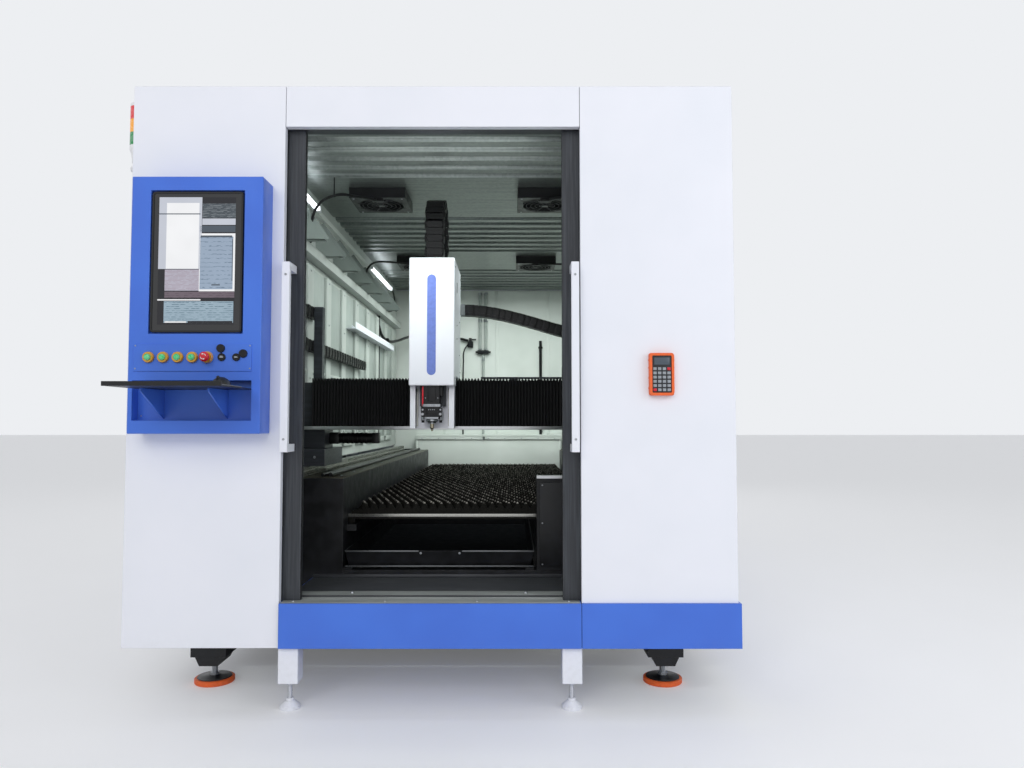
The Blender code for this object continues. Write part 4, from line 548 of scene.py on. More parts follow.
finishOfNode = {
    whitePowder: "front_panel_left front_panel_right header_panel side_wall_left rear_wall signal_lamp"
    " leg_front_left leg_front_right leg_rear_left leg_rear_right head_cover head_plate"
    " door_handle_left door_handle_right",
    whiteSide: "side_wall_right",
    bluePowder: "skirt_right front_sill console_box button_plate",
    cabinEnamel: "extraction_duct",
    wallShadedEnamel: "inner_wall_left",
    ceilingSteel: "roof",
    blackEnamel: "bed_frame scrap_drawer junction_box",
    satinBlack: "keyboard_shelf cutting_head fan_rotor_left_front fan_rotor_left_back"
    " fan_rotor_right_front fan_rotor_right_back"
    " bed_foot_front_left bed_foot_front_right bed_foot_rear_left bed_foot_rear_right",
    graphiteSheet: "door_leaf_left door_leaf_right door_track laser_source",
    gantryPaint: "gantry_beam z_slide",
    groundSteel: "guide_rail_left guide_rail_right",
    nickelBrass: "nozzle",
    slatSteel: "slat_table",
    bellowsCloth: "bellows_left bellows_right",
    chainNylon: "chain_across chain_along chain_arch",
    greenLens: "green_button_1 green_button_2 green_button_3 green_button_4",
    redAbs: "emergency_stop",
    screenGlass: "monitor",
    orangeRubber: "hand_control",
    windowAcrylic: "door_window_left door_window_right",
    blackAbs: "keyboard",
}
for finish, names in finishOfNode.items():
    for name in names.split():
        for materialSlot in cadNodes[name].material_slots:
            materialSlot.material = finish
print("finishes set:", len(bpy.data.materials))

# tools for the pieces


def addBlock(work, x, y, z, rounding=0.0, segments=2):
    low, high = Vector((x[0], y[0], z[0])), Vector((x[1], y[1], z[1]))
    matrix = Matrix.Translation((low + high) / 2) @ Matrix.Diagonal((*(high - low), 1))
    corners = bmesh.ops.create_cube(work, size=1, matrix=matrix)["verts"]
    if rounding:
        edges = list({edge for corner in corners for edge in corner.link_edges})
        made = bmesh.ops.bevel(
            work,
            geom=edges,
            offset=rounding,
            offset_type="OFFSET",
            segments=segments,
            profile=0.5,
            affect="EDGES",
            material=-1,
        )
        corners = [corner for corner in made["verts"] if corner.is_valid]
    return corners


def addTurnedBlock(work, size, matrix, rounding=0.0):
    corners = addBlock(work, *((-s / 2, s / 2) for s in size), rounding)
    bmesh.ops.transform(work, matrix=matrix, verts=corners)


def addRod(work, start, end, radius, sides=20, tip=None):
    start, end = Vector(start), Vector(end)
    way = end - start
    matrix = Matrix.Translation((start + end) / 2) @ way.to_track_quat("Z", "Y").to_matrix().to_4x4()
    bmesh.ops.create_cone(
        work,
        cap_ends=True,
        segments=sides,
        radius1=radius,
        radius2=radius if tip is None else tip,
        depth=way.length,
        matrix=matrix,
    )


def addSpun(work, profile, centre, axis=(0, 0, 1), steps=32):
    # Spins (radius, height) points round an axis through centre.
    matrix = Matrix.Translation(centre) @ Vector(axis).to_track_quat("Z", "Y").to_matrix().to_4x4()
    corners = [work.verts.new(matrix @ Vector((radius, 0, height))) for radius, height in profile]
    edges = [work.edges.new(pair) for pair in zip(corners, corners[1:])]
    made = bmesh.ops.spin(
        work, geom=corners + edges, cent=centre, axis=axis, angle=2 * pi, steps=steps, use_merge=True
    )
    return made


def addRing(work, centre, radius, thickness, axis=(0, 0, 1), steps=40, sides=8):
    loop = [
        (radius + thickness / 2 * cos(2 * pi * s / sides), thickness / 2 * sin(2 * pi * s / sides))
        for s in range(sides)
    ]
    addSpun(work, loop + loop[:1], centre, axis, steps)


def addScrew(work, spot, outward, radius=0.003):
    # A button-head screw: a low dome with a socket in it.
    profile = [
        (0, radius * 0.25),
        (radius * 0.45, radius * 0.25),
        (radius * 0.5, radius * 0.6),
        (radius * 0.85, radius * 0.5),
        (radius, 0),
        (0, 0),
    ]
    addSpun(work, profile, Vector(spot), outward, 12)


def addPrism(work, outline, axis, span):
    # A face on the outline's corners, extruded along an axis: (y, z) for X, (x, z) for Y, (x, y) for Z.
    index = "XYZ".index(axis)
    corners = []
    for first, second in outline:
        spot = [first, second]
        spot.insert(index, span[0])
        corners.append(work.verts.new(spot))
    face = work.faces.new(corners)
    made = bmesh.ops.extrude_face_region(work, geom=[face])["geom"]
    way = Vector((0, 0, 0))
    way[index] = span[1] - span[0]
    bmesh.ops.translate(
        work, verts=[item for item in made if isinstance(item, bmesh.types.BMVert)], vec=way
    )


def place(name, mesh, finish, body, sharp=35):
    mesh.transform(toWorld)
    mesh.materials.clear()
    mesh.materials.append(finish)
    mesh.shade_smooth()
    mesh.set_sharp_from_angle(angle=radians(sharp))
    piece = bpy.data.objects.new(name, mesh)
    bpy.context.scene.collection.objects.link(piece)
    if body:
        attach(piece, body)
    return piece


def finishPiece(name, work, finish, body="machine", replaces=(), sharp=35):
    bmesh.ops.remove_doubles(work, verts=work.verts, dist=0.00001)
    bmesh.ops.dissolve_degenerate(work, dist=0.000001, edges=work.edges)
    bmesh.ops.recalc_face_normals(work, faces=work.faces)
    mesh = bpy.data.meshes.new(name)
    work.to_mesh(mesh)
    work.free()
    piece = place(name, mesh, finish, body, sharp)
    if replaces:
        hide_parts(*replaces)
    return piece


def addCable(name, points, radius, finish, body="machine"):
    # A round lead on a smooth curve through its points.
    curve = bpy.data.curves.new(name, "CURVE")
    curve.dimensions = "3D"
    curve.bevel_depth = radius
    curve.bevel_resolution = 3
    curve.use_fill_caps = True
    line = curve.splines.new("BEZIER")
    line.resolution_u = 10
    line.bezier_points.add(len(points) - 1)
    for spot, point in zip(line.bezier_points, points):
        spot.co = point
        spot.handle_left_type = spot.handle_right_type = "AUTO"
    guide = bpy.data.objects.new(name + "Guide", curve)
    bpy.context.scene.collection.objects.link(guide)
    bpy.context.view_layer.update()
    mesh = bpy.data.meshes.new_from_object(guide.evaluated_get(bpy.context.evaluated_depsgraph_get()))
    mesh.name = name
    bpy.data.objects.remove(guide, do_unlink=True)
    return place(name, mesh, finish, body)


def evenSteps(path, pitch):
    # Spots and directions at even steps along a path of points.
    spots = [Vector(point) for point in path]
    reach = [0.0]
    for first, second in zip(spots, spots[1:]):
        reach.append(reach[-1] + (second - first).length)
    count = max(1, round(reach[-1] / pitch))
    for step in range(count):
        distance = (step + 0.5) * reach[-1] / count
        leg = max(index for index, far in enumerate(reach[:-1]) if far <= distance)
        way = spots[leg + 1] - spots[leg]
        yield spots[leg] + way.normalized() * (distance - reach[leg]), way.normalized(), reach[-1] / count


def addChain(work, path, across, width, height, pitch):
    # Energy chain: side plates that lap each other, joined above and below by snap-in bars.
    side = Vector(across)
    for number, (spot, ahead, step) in enumerate(evenSteps(path, pitch)):
        up = side.cross(ahead)
        turn = Matrix((ahead, side, up)).transposed().to_4x4()
        inset = 0.004 if number % 2 else 0.009
        for sign in (-1, 1):
            at = Matrix.Translation(spot + side * sign * (width / 2 - inset)) @ turn
            addTurnedBlock(work, (step * 1.12, 0.005, height), at, 0.002 if height > 0.05 else 0.001)
            addTurnedBlock(
                work, (step * 0.72, 0.003, height * 0.5), at @ Matrix.Translation((0, sign * 0.0035, 0))
            )
            bar = Matrix.Translation(spot + up * sign * (height / 2 - 0.003)) @ turn
            addTurnedBlock(work, (step * 0.93, width - 0.022, 0.005), bar)
            addTurnedBlock(work, (step * 0.20, width - 0.012, 0.0062), bar)


def arcPoints(centre, radius, start, end, plane, steps=16):
    # Points on an arc in the (y, z) or (x, z) plane; the third coordinate comes from centre.
    for number in range(steps + 1):
        angle = start + (end - start) * number / steps
        flat = (radius * cos(angle), radius * sin(angle))
        yield Vector((centre[0] + flat[0], centre[1], centre[2] + flat[1])) if plane == "XZ" else Vector(
            (centre[0], centre[1] + flat[0], centre[2] + flat[1])
        )


def addFrame(work, x, z, y, width, rounding=0.0):
    # A flat rectangular frame facing the front: rounded corners, an inset hole, then its thickness.
    corners = [
        work.verts.new((cx, y[0], cz))
        for cx, cz in ((x[0], z[0]), (x[1], z[0]), (x[1], z[1]), (x[0], z[1]))
    ]
    work.faces.new(corners)
    if rounding:
        bmesh.ops.bevel(
            work, geom=corners, offset=rounding, segments=5, profile=0.5, affect="VERTICES", material=-1
        )
    face = [f for f in work.faces if all(abs(c.co.y - y[0]) < 1e-7 for c in f.verts)][-1]
    bmesh.ops.inset_region(work, faces=[face], thickness=width, use_boundary=True, use_even_offset=True)
    rim = [f for f in work.faces if f is not face and all(abs(c.co.y - y[0]) < 1e-7 for c in f.verts)]
    bmesh.ops.delete(work, geom=[face], context="FACES")
    made = bmesh.ops.extrude_face_region(work, geom=rim)["geom"]
    bmesh.ops.translate(
        work, verts=[item for item in made if isinstance(item, bmesh.types.BMVert)], vec=(0, y[1] - y[0], 0)
    )


# operator's console

consoleValues = {
    "activeX": (-1.034, -0.741),
    "activeZ": (1.492, 1.983),
    "fieldLayer": 0.0003,
    "buttonZ": 1.367,
    "firstButtonX": -1.060,
    "buttonPitch": 0.0555,
    "greenButtons": 4,
    "plateScrewInset": 0.006,
    "keyPitch": 0.0158,
    "keyRows": 6,
}
uiFinishes = {
    "sheet": screenField("displaySheet", "FBFCFE", 1.1),
    "frame": screenField("displayPaleFrame", "DDE2EE", 0.9),
    "bar": screenField("displayToolbar", "66727C", 0.5, "C9D3DA", 6.0, 0.5),
    "band": screenField("displayBand", "6E7D8C", 0.5),
    "panel": screenField("displayEntryPanel", "B4C8E0", 0.8, "7E93AB", 16.0, 0.45),
    "grid": screenField("displayDrawing", "D6D2E2", 0.8, "B59FAE", 5.0, 0.55),
    "slate": screenField("displaySlate", "2A2A33", 0.4),
    "table": screenField("displayTable", "B5CFE0", 0.8, "5F7F92", 8.0, 0.5),
    "status": screenField("displayStatusStrip", "93828F", 0.6, "6A5B68", 7.0, 0.5),
}
uiFields = [  # finish, layer, left, right, top and bottom as shares of the lit area
    ("slate", 1, 0.0, 1.0, 0.0, 1.0),
    ("frame", 2, 0.0, 0.56, 0.0, 0.565),
    ("sheet", 3, 0.10, 0.525, 0.045, 0.563),
    ("band", 4, 0.0, 0.54, 0.128, 0.136),
    ("bar", 2, 0.565, 1.0, 0.05, 0.163),
    ("frame", 2, 0.565, 1.0, 0.168, 0.218),
    ("band", 2, 0.535, 1.0, 0.225, 0.275),
    ("sheet", 2, 0.535, 1.0, 0.285, 0.74),
    ("panel", 3, 0.545, 0.975, 0.31, 0.725),
    ("band", 4, 0.55, 0.96, 0.302, 0.316),
    ("band", 4, 0.962, 0.972, 0.33, 0.66),
    ("band", 4, 0.70, 0.81, 0.685, 0.695),
    ("grid", 3, 0.09, 0.535, 0.57, 0.735),
    ("status", 2, 0.09, 1.0, 0.742, 0.79),
    ("sheet", 2, 0.0, 0.56, 0.802, 0.812),
    ("table", 2, 0.085, 0.99, 0.818, 0.985),
    ("slate", 3, 0.40, 0.98, 0.972, 0.985),
    ("sheet", 3, 0.10, 0.38, 0.975, 0.985),
]


def buildScreen():
    glassLow, glassHigh = boxOf("monitor")
    left, right = consoleValues["activeX"]
    bottom, top = consoleValues["activeZ"]
    layer = consoleValues["fieldLayer"]
    pieces = {}
    for finish, depth, x0, x1, z0, z1 in uiFields:
        work = pieces.setdefault(finish, bmesh.new())
        addBlock(
            work,
            (left + x0 * (right - left), left + x1 * (right - left)),
            (glassLow.y - depth * layer, glassLow.y + layer),
            (top - z1 * (top - bottom), top - z0 * (top - bottom)),
        )
    for finish, work in pieces.items():
        finishPiece("display" + finish.capitalize(), work, uiFinishes[finish])
    work = bmesh.new()
    addFrame(
        work,
        (glassLow.x, glassHigh.x),
        (glassLow.z, glassHigh.z),
        (glassLow.y - 0.0022, glassLow.y + 0.003),
        0.007,
        0.012,
    )
    finishPiece("screenBezel", work, mouldedPlastic("glossyBezelAbs", "black_plastic", "08080A", 0.28))


def buildButtons():
    face = boxOf("button_plate")[0].y + 0.011  # the plate's own face behind the collars
    z = consoleValues["buttonZ"]
    ring = [(0.0213, 0), (0.0214, 0.004), (0.0202, 0.0102), (0.0188, 0.0119), (0.0158, 0.0119)]
    ring += [(0.0142, 0.0112), (0.0129, 0.0112), (0.0129, 0.002)]
    lens = [(0, 0.0078), (0.0060, 0.0074), (0.0094, 0.0062), (0.0102, 0.0050), (0.0106, 0.0050)]
    lens += [(0.0112, 0.0060), (0.0121, 0.0056), (0.01245, 0.0042), (0.01245, -0.0090), (0, -0.0090)]
    out = Vector((0, -1, 0))
    for number in range(consoleValues["greenButtons"]):
        x = consoleValues["firstButtonX"] + number * consoleValues["buttonPitch"]
        work = bmesh.new()
        addSpun(work, ring, Vector((x, face, z)), out, 40)
        finishPiece(f"buttonRing{number + 1}", work, yellowAbs)
        work = bmesh.new()
        addSpun(work, lens, Vector((x, face - 0.011, z)), out, 32)
        finishPiece(
            f"buttonLens{number + 1}",
            work,
            greenLens,
            f"green_button_{number + 1}",
            [f"green_button_{number + 1}"],
        )
        work = bmesh.new()
        addRing(work, Vector((x, face - 0.0166, z)), 0.0113, 0.0016, out, 32, 6)
        finishPiece(f"buttonLip{number + 1}", work, zincSteel, f"green_button_{number + 1}")
    x = consoleValues["firstButtonX"] + consoleValues["greenButtons"] * consoleValues["buttonPitch"]
    work = bmesh.new()
    wide = [(radius * 1.075, height) for radius, height in ring[:5]] + [(0.0150, 0.0112), (0.0129, 0.0112)]
    addSpun(work, wide, Vector((x, face, z)), out, 40)
    finishPiece("stopCollar", work, yellowAbs)
    cap = [(0, 0.0300), (0.0085, 0.0294), (0.0145, 0.0276), (0.0178, 0.0246), (0.0189, 0.0212)]
    cap += [(0.0186, 0.0178), (0.0170, 0.0162), (0.0124, 0.0160), (0.0124, -0.0080), (0, -0.0080)]
    work = bmesh.new()
    addSpun(work, cap, Vector((x, face - 0.011, z)), out, 40)
    finishPiece("stopMushroom", work, redAbs, "emergency_stop", ["emergency_stop"])
    work = bmesh.new()
    for turn in (0.4, 0.4 + pi):  # the two twist marks
        spot = Vector((x, face - 0.011, z))
        for step in range(7):
            angle = turn + step * 0.27
            size = 0.0022 if step < 5 else 0.0046 - 0.0022 * (step - 5)
            at = spot + Vector((0.0098 * cos(angle), -0.0294, 0.0098 * sin(angle)))
            addTurnedBlock(
                work,
                (0.0030, 0.0012, size),
                Matrix.Translation(at) @ Matrix.Rotation(-angle - pi / 2, 4, "Y"),
            )
    finishPiece("stopTwistMarks", work, whiteAbs, "emergency_stop")


def buildPorts():
    plateLow, plateHigh = boxOf("button_plate")
    face = plateLow.y + 0.011
    z = consoleValues["buttonZ"]
    out = Vector((0, -1, 0))
    first = consoleValues["firstButtonX"] + 5 * consoleValues["buttonPitch"]
    shell = [
        (0.0146, 0), (0.0146, 0.0052), (0.0134, 0.0068), (0.0112, 0.0068), (0.0106, 0.0061), (0, 0.0061)
    ]
    lid = [(0.0157, 0), (0.0157, 0.0062), (0.0146, 0.0085), (0.0096, 0.0090), (0.0090, 0.0082), (0, 0.0082)]
    work, contacts = bmesh.new(), bmesh.new()
    for number, (capX, capZ) in enumerate(((-0.004, 0.034), (0.026, 0.014))):
        x = first + number * consoleValues["buttonPitch"]
        addSpun(work, shell, Vector((x, face, z)), out, 32)
        addSpun(work, lid, Vector((x + capX, face, z + capZ)), out, 32)
        way = Vector((capX, 0, capZ))
        middle = Vector((x, face - 0.0035, z)) + way * 0.5
        turn = way.to_track_quat("Z", "Y").to_matrix().to_4x4()
        addTurnedBlock(work, (0.007, 0.003, way.length * 0.7), Matrix.Translation(middle) @ turn, 0.001)
        addBlock(
            contacts,
            (x - 0.0066, x + 0.0066),
            (face - 0.0066, face - 0.005),
            (z - 0.0024, z + 0.0024),
            0.0004,
        )
        if number == 0:
            addBlock(
                contacts, (x - 0.0052, x + 0.0052), (face - 0.0066, face - 0.005), (z + 0.0034, z + 0.0052)
            )
    finishPiece("dataPortsAndCaps", work, darkRubber)
    finishPiece("portContacts", contacts, zincSteel)
    work = bmesh.new()
    inset = consoleValues["plateScrewInset"]
    for x in (plateLow.x + inset, plateHigh.x - inset):
        for at in (plateLow.z + inset + 0.004, plateHigh.z - inset):
            addScrew(work, (x, face, at), out)
    consoleFace = boxOf("console_box")[0].y
    for x in (plateLow.x + inset, plateHigh.x - inset):
        addScrew(work, (x + (0.002 if x < -0.9 else -0.002), consoleFace + 0.05, 1.262), out)
        addScrew(work, (x + (0.002 if x < -0.9 else -0.002), consoleFace + 0.05, 1.145), out)
    finishPiece("consoleScrews", work, zincSteel)


def buildShelf():
    boardLow, boardHigh = boxOf("keyboard")
    shelfLow, shelfHigh = boxOf("keyboard_shelf")
    pitch = consoleValues["keyPitch"]
    work = bmesh.new()
    rise = 0.006
    outline = [
        (boardLow.y, boardLow.z),
        (boardHigh.y, boardLow.z),
        (boardHigh.y, boardHigh.z - 0.004),
        (boardLow.y, boardHigh.z - 0.004 - rise),
    ]
    addPrism(work, outline, "X", (boardLow.x, boardHigh.x))
    columns = int((boardHigh.x - boardLow.x - 0.01) / pitch)
    for row in range(consoleValues["keyRows"]):
        share = (row + 0.5) / consoleValues["keyRows"]
        y = boardLow.y + 0.008 + share * (boardHigh.y - boardLow.y - 0.016)
        z = boardHigh.z - 0.004 - rise * (1 - share)
        column = 0
        while column < columns:
            span = 6 if row == 0 and column == 4 else 2 if row in (1, 2) and column in (0, 12) else 1
            if column in (13,) or (row == 5 and column in (1, 6)):
                column += 1
                continue
            x = boardLow.x + 0.005 + column * pitch
            addBlock(
                work,
                (x + 0.0009, x + span * pitch - 0.0009),
                (y - 0.0080, y + 0.0080),
                (z - 0.001, z + 0.0035),
                0.001,
                1,
            )
            column += span
    finishPiece("keyboardWithKeys", work, blackAbs, replaces=["keyboard"])
    top = boardLow.z
    work = bmesh.new()
    addBlock(work, (-0.762, -0.676), (-0.385, -0.205), (top, top + 0.003), 0.001)
    finishPiece("mousePad", work, mousePadCloth)
    work = bmesh.new()
    bmesh.ops.create_uvsphere(work, u_segments=28, v_segments=16, radius=1)
    bmesh.ops.scale(work, vec=(0.029, 0.052, 0.030), verts=work.verts)
    cutPlane = bmesh.ops.bisect_plane(
        work,
        geom=work.verts[:] + work.edges[:] + work.faces[:],
        plane_co=(0, 0, 0),
        plane_no=(0, 0, -1),
        clear_outer=True,
    )
    rim = [item for item in cutPlane["geom_cut"] if isinstance(item, bmesh.types.BMEdge)]
    bmesh.ops.holes_fill(work, edges=rim)
    addBlock(work, (-0.0012, 0.0012), (-0.046, -0.006), (0.008, 0.0295), 0.0005)
    addRod(work, (-0.003, -0.030, 0.0255), (0.003, -0.030, 0.0255), 0.007, 16)
    bmesh.ops.translate(work, verts=work.verts, vec=(-0.716, -0.300, top + 0.003))
    finishPiece("mouse", work, blackAbs)
    work = bmesh.new()
    back = shelfHigh.y
    for x in (-1.0241, -0.779):  # blue paint on the two gussets
        outline = [
            (back - 0.0004, shelfLow.z + 0.1094),
            (back - 0.1906, shelfLow.z + 0.1094),
            (back - 0.1906, shelfLow.z + 0.0974),
            (back - 0.0004, shelfLow.z - 0.0006),
        ]
        addPrism(work, outline, "X", (x - 0.0006, x + 0.0046))
    finishPiece("shelfGussets", work, bluePowder)
    work = bmesh.new()
    trayZ = shelfHigh.z - 0.012
    addBlock(
        work,
        (shelfLow.x, shelfLow.x + 0.003),
        (shelfLow.y + 0.01, back - 0.05),
        (trayZ, trayZ + 0.010),
        0.0005,
    )
    finishPiece("shelfEndLip", work, satinBlack)


def buildHandControl():
    low, high = boxOf("hand_control")
    work = bmesh.new()
    addBlock(work, (low.x, high.x), (low.y + 0.002, high.y), (low.z, high.z), 0.008, 3)
    addFrame(
        work,
        (low.x + 0.001, high.x - 0.001),
        (low.z + 0.001, high.z - 0.001),
        (low.y - 0.002, low.y + 0.01),
        0.010,
        0.014,
    )
    for z in (low.z + 0.03, low.z + 0.07, low.z + 0.11, low.z + 0.14):  # grip ribs along both sides
        addBlock(
            work,
            (low.x - 0.0015, high.x + 0.0015),
            (low.y + 0.006, high.y - 0.006),
            (z - 0.004, z + 0.004),
            0.0015,
        )
    finishPiece("handControlGuard", work, orangeRubber, replaces=["hand_control"])
    work = bmesh.new()
    addBlock(
        work,
        (low.x + 0.011, high.x - 0.011),
        (low.y + 0.0005, low.y + 0.004),
        (low.z + 0.011, high.z - 0.011),
        0.001,
    )
    finishPiece("handControlFace", work, blackAbs)
    work = bmesh.new()
    addBlock(
        work,
        (low.x + 0.019, high.x - 0.019),
        (low.y - 0.0004, low.y + 0.001),
        (high.z - 0.047, high.z - 0.019),
        0.0005,
    )
    finishPiece("handControlDisplay", work, uiFinishes["band"])
    keys, marks = bmesh.new(), bmesh.new()
    for row in range(6):
        for column in range(4):
            x = low.x + 0.0215 + column * 0.0183
            z = low.z + 0.0225 + row * 0.0165
            target = marks if (row, column) in ((0, 0), (5, 3)) else keys
            addBlock(
                target,
                (x - 0.0066, x + 0.0066),
                (low.y - 0.0012, low.y + 0.001),
                (z - 0.0055, z + 0.0055),
                0.0012,
            )
    finishPiece("handControlKeys", keys, mouldedPlastic("paleGreyKeys", "black_plastic", "9AA0A6", 0.5))
    finishPiece("handControlColourKeys", marks, redAbs)


def buildSignalLamp():
    low, high = boxOf("signal_lamp")
    x, y, top = low.x + 0.027, 0.12, high.z
    spot = Vector((x, y, 0))
    white = bmesh.new()
    addSpun(
        white,
        [
            (0, top), (0.017, top - 0.001), (0.0245, top - 0.006), (0.0268, top - 0.014),
            (0.0268, top - 0.020), (0, top - 0.020),
        ],
        spot,
    )
    cone = top - 0.185
    profile = [
        (0, cone + 0.001), (0.0268, cone + 0.001), (0.0268, cone - 0.016), (0.0215, cone - 0.030),
        (0.0170, cone - 0.056),
    ]
    profile += [(0.0165, cone - 0.070), (0.0115, cone - 0.072), (0.0115, cone - 0.084)]
    profile += [(0.0195, cone - 0.088), (0.0225, cone - 0.097), (0.0195, cone - 0.1055), (0, cone - 0.106)]
    addSpun(white, profile, spot)
    addBlock(white, (x, high.x), (y - 0.009, y + 0.009), (cone - 0.104, cone - 0.086), 0.003)
    addBlock(white, (high.x - 0.006, high.x), (y - 0.022, y + 0.022), (cone - 0.106, cone - 0.062), 0.001)
    finishPiece("lampCapAndFoot", white, whiteAbs, replaces=["signal_lamp"])
    for name, finish, level in (
        ("lampRed", redLens, top - 0.020),
        ("lampAmber", amberLens, top - 0.075),
        ("lampGreen", greenStackLens, top - 0.130),
    ):
        work = bmesh.new()
        profile = [(0, level)]
        for rib in range(9):  # moulded rings of the lens
            z = level - rib * 0.006
            profile += [(0.0262, z), (0.0268, z - 0.0018), (0.0268, z - 0.0042), (0.0262, z - 0.006)]
        profile += [(0.0255, level - 0.055), (0, level - 0.055)]
        addSpun(work, profile, spot)
        finishPiece(name, work, finish)


buildScreen()
buildButtons()
buildPorts()
buildShelf()
buildHandControl()
buildSignalLamp()
print("console, hand control and signal lamp made")

# cabin: ceiling fans, lamps and their leads

cabinValues = {
    "fanX": (-0.4171, 0.5029),
    "fanY": (1.26, 3.00),
    "fanWidth": 0.300,
    "fanHole": 0.121,
    "guardRings": (0.030, 0.055, 0.080, 0.105, 0.125),
    "guardWire": 0.0032,
    "guardSpokes": 8,
    "leadRadius": 0.0075,
    "lampFrontY": (0.20, 1.18),
    "lampBackY": (2.76, 3.74),
    "lampZ": 2.300,
    "wallX": -0.800,
    "ceilingZ": 2.400,
}


def addHoledPlate(work, x, y, half, hole, low, high, steps=48):
    # A square plate with a round hole, bridged from the circle to the square and given its thickness.
    ring = bmesh.ops.create_circle(work, segments=steps, radius=hole)["verts"]
    square = bmesh.ops.create_circle(work, segments=steps, radius=half)["verts"]
    for corner in square:
        reach = max(abs(corner.co.x), abs(corner.co.y))
        corner.co *= half / reach
    edges = list({edge for corner in ring + square for edge in corner.link_edges})
    faces = bmesh.ops.bridge_loops(work, edges=edges)["faces"]
    made = bmesh.ops.extrude_face_region(work, geom=faces)["geom"]
    top = [item for item in made if isinstance(item, bmesh.types.BMVert)]
    bmesh.ops.translate(work, verts=top, vec=(0, 0, high - low))
    bmesh.ops.translate(work, verts=ring + square + top, vec=(x, y, low))


def buildFans():
    low = boxOf("roof")[0].z
    half, hole = cabinValues["fanWidth"] / 2, cabinValues["fanHole"]
    wire = cabinValues["guardWire"]
    ceiling = cabinValues["ceilingZ"]
    housings, guards, screws = bmesh.new(), bmesh.new(), bmesh.new()
    for x in cabinValues["fanX"]:
        for y in cabinValues["fanY"]:
            addHoledPlate(housings, x, y, half + 0.002, hole, low - 0.003, low - 0.0003)
            for sign in (-1, 1):  # skirts up to the ceiling round the grey frame
                outer = half + 0.0022
                addBlock(
                    housings,
                    (x + sign * outer - 0.0015, x + sign * outer + 0.0015),
                    (y - outer, y + outer),
                    (low - 0.003, ceiling - 0.001),
                )
                addBlock(
                    housings,
                    (x - outer, x + outer),
                    (y + sign * outer - 0.0015, y + sign * outer + 0.0015),
                    (low - 0.003, ceiling - 0.001),
                )
            addSpun(
                housings,
                [
                    (hole, low - 0.003), (hole + 0.0035, low - 0.003), (hole + 0.0035, ceiling - 0.002),
                    (hole, ceiling - 0.002), (hole, low - 0.003),
                ],
                Vector((x, y, 0)),
                steps=48,
            )
            for number in range(3):  # stays that carry the motor
                angle = radians(30 + 120 * number)
                way = Vector((cos(angle), sin(angle), 0))
                addRod(
                    housings,
                    Vector((x, y, ceiling - 0.004)) + way * 0.03,
                    Vector((x, y, ceiling - 0.004)) + way * 0.123,
                    0.0035,
                    8,
                )
            for radius in cabinValues["guardRings"]:
                addRing(guards, Vector((x, y, low - 0.0055)), radius, wire, steps=40, sides=6)
            for number in range(cabinValues["guardSpokes"]):
                angle = 2 * pi * number / cabinValues["guardSpokes"] + radians(22.5)
                way = Vector((cos(angle), sin(angle), 0))
                middle = Vector((x, y, low - 0.0045))
                addRod(guards, middle + way * 0.012, middle + way * 0.136, wire / 2, 6)
            addSpun(
                guards,
                [(0, low - 0.0075), (0.018, low - 0.0075), (0.020, low - 0.004), (0, low - 0.004)],
                Vector((x, y, 0)),
                steps=24,
            )
            for sx in (-1, 1):
                for sy in (-1, 1):
                    addScrew(
                        screws,
                        (x + sx * (half - 0.018), y + sy * (half - 0.018), low - 0.003),
                        (0, 0, -1),
                        0.0055,
                    )
            addBlock(
                housings,
                (x - 0.030, x + 0.030),
                (y - half + 0.004, y - half + 0.032),
                (low - 0.018, low - 0.003),
                0.002,
            )
            addBlock(
                housings,
                (x - 0.022, x - 0.004),
                (y - half - 0.004, y - half + 0.008),
                (low - 0.014, low - 0.004),
                0.001,
            )
    finishPiece("fanHousings", housings, satinBlack)
    finishPiece(
        "fanGuards",
        guards,
        darkEnamel("dippedWireGuard", "black_paint", "1A1B1D", "3A3C40", 0.35, wear=0.3),
    )
    finishPiece("fanScrews", screws, zincSteel)


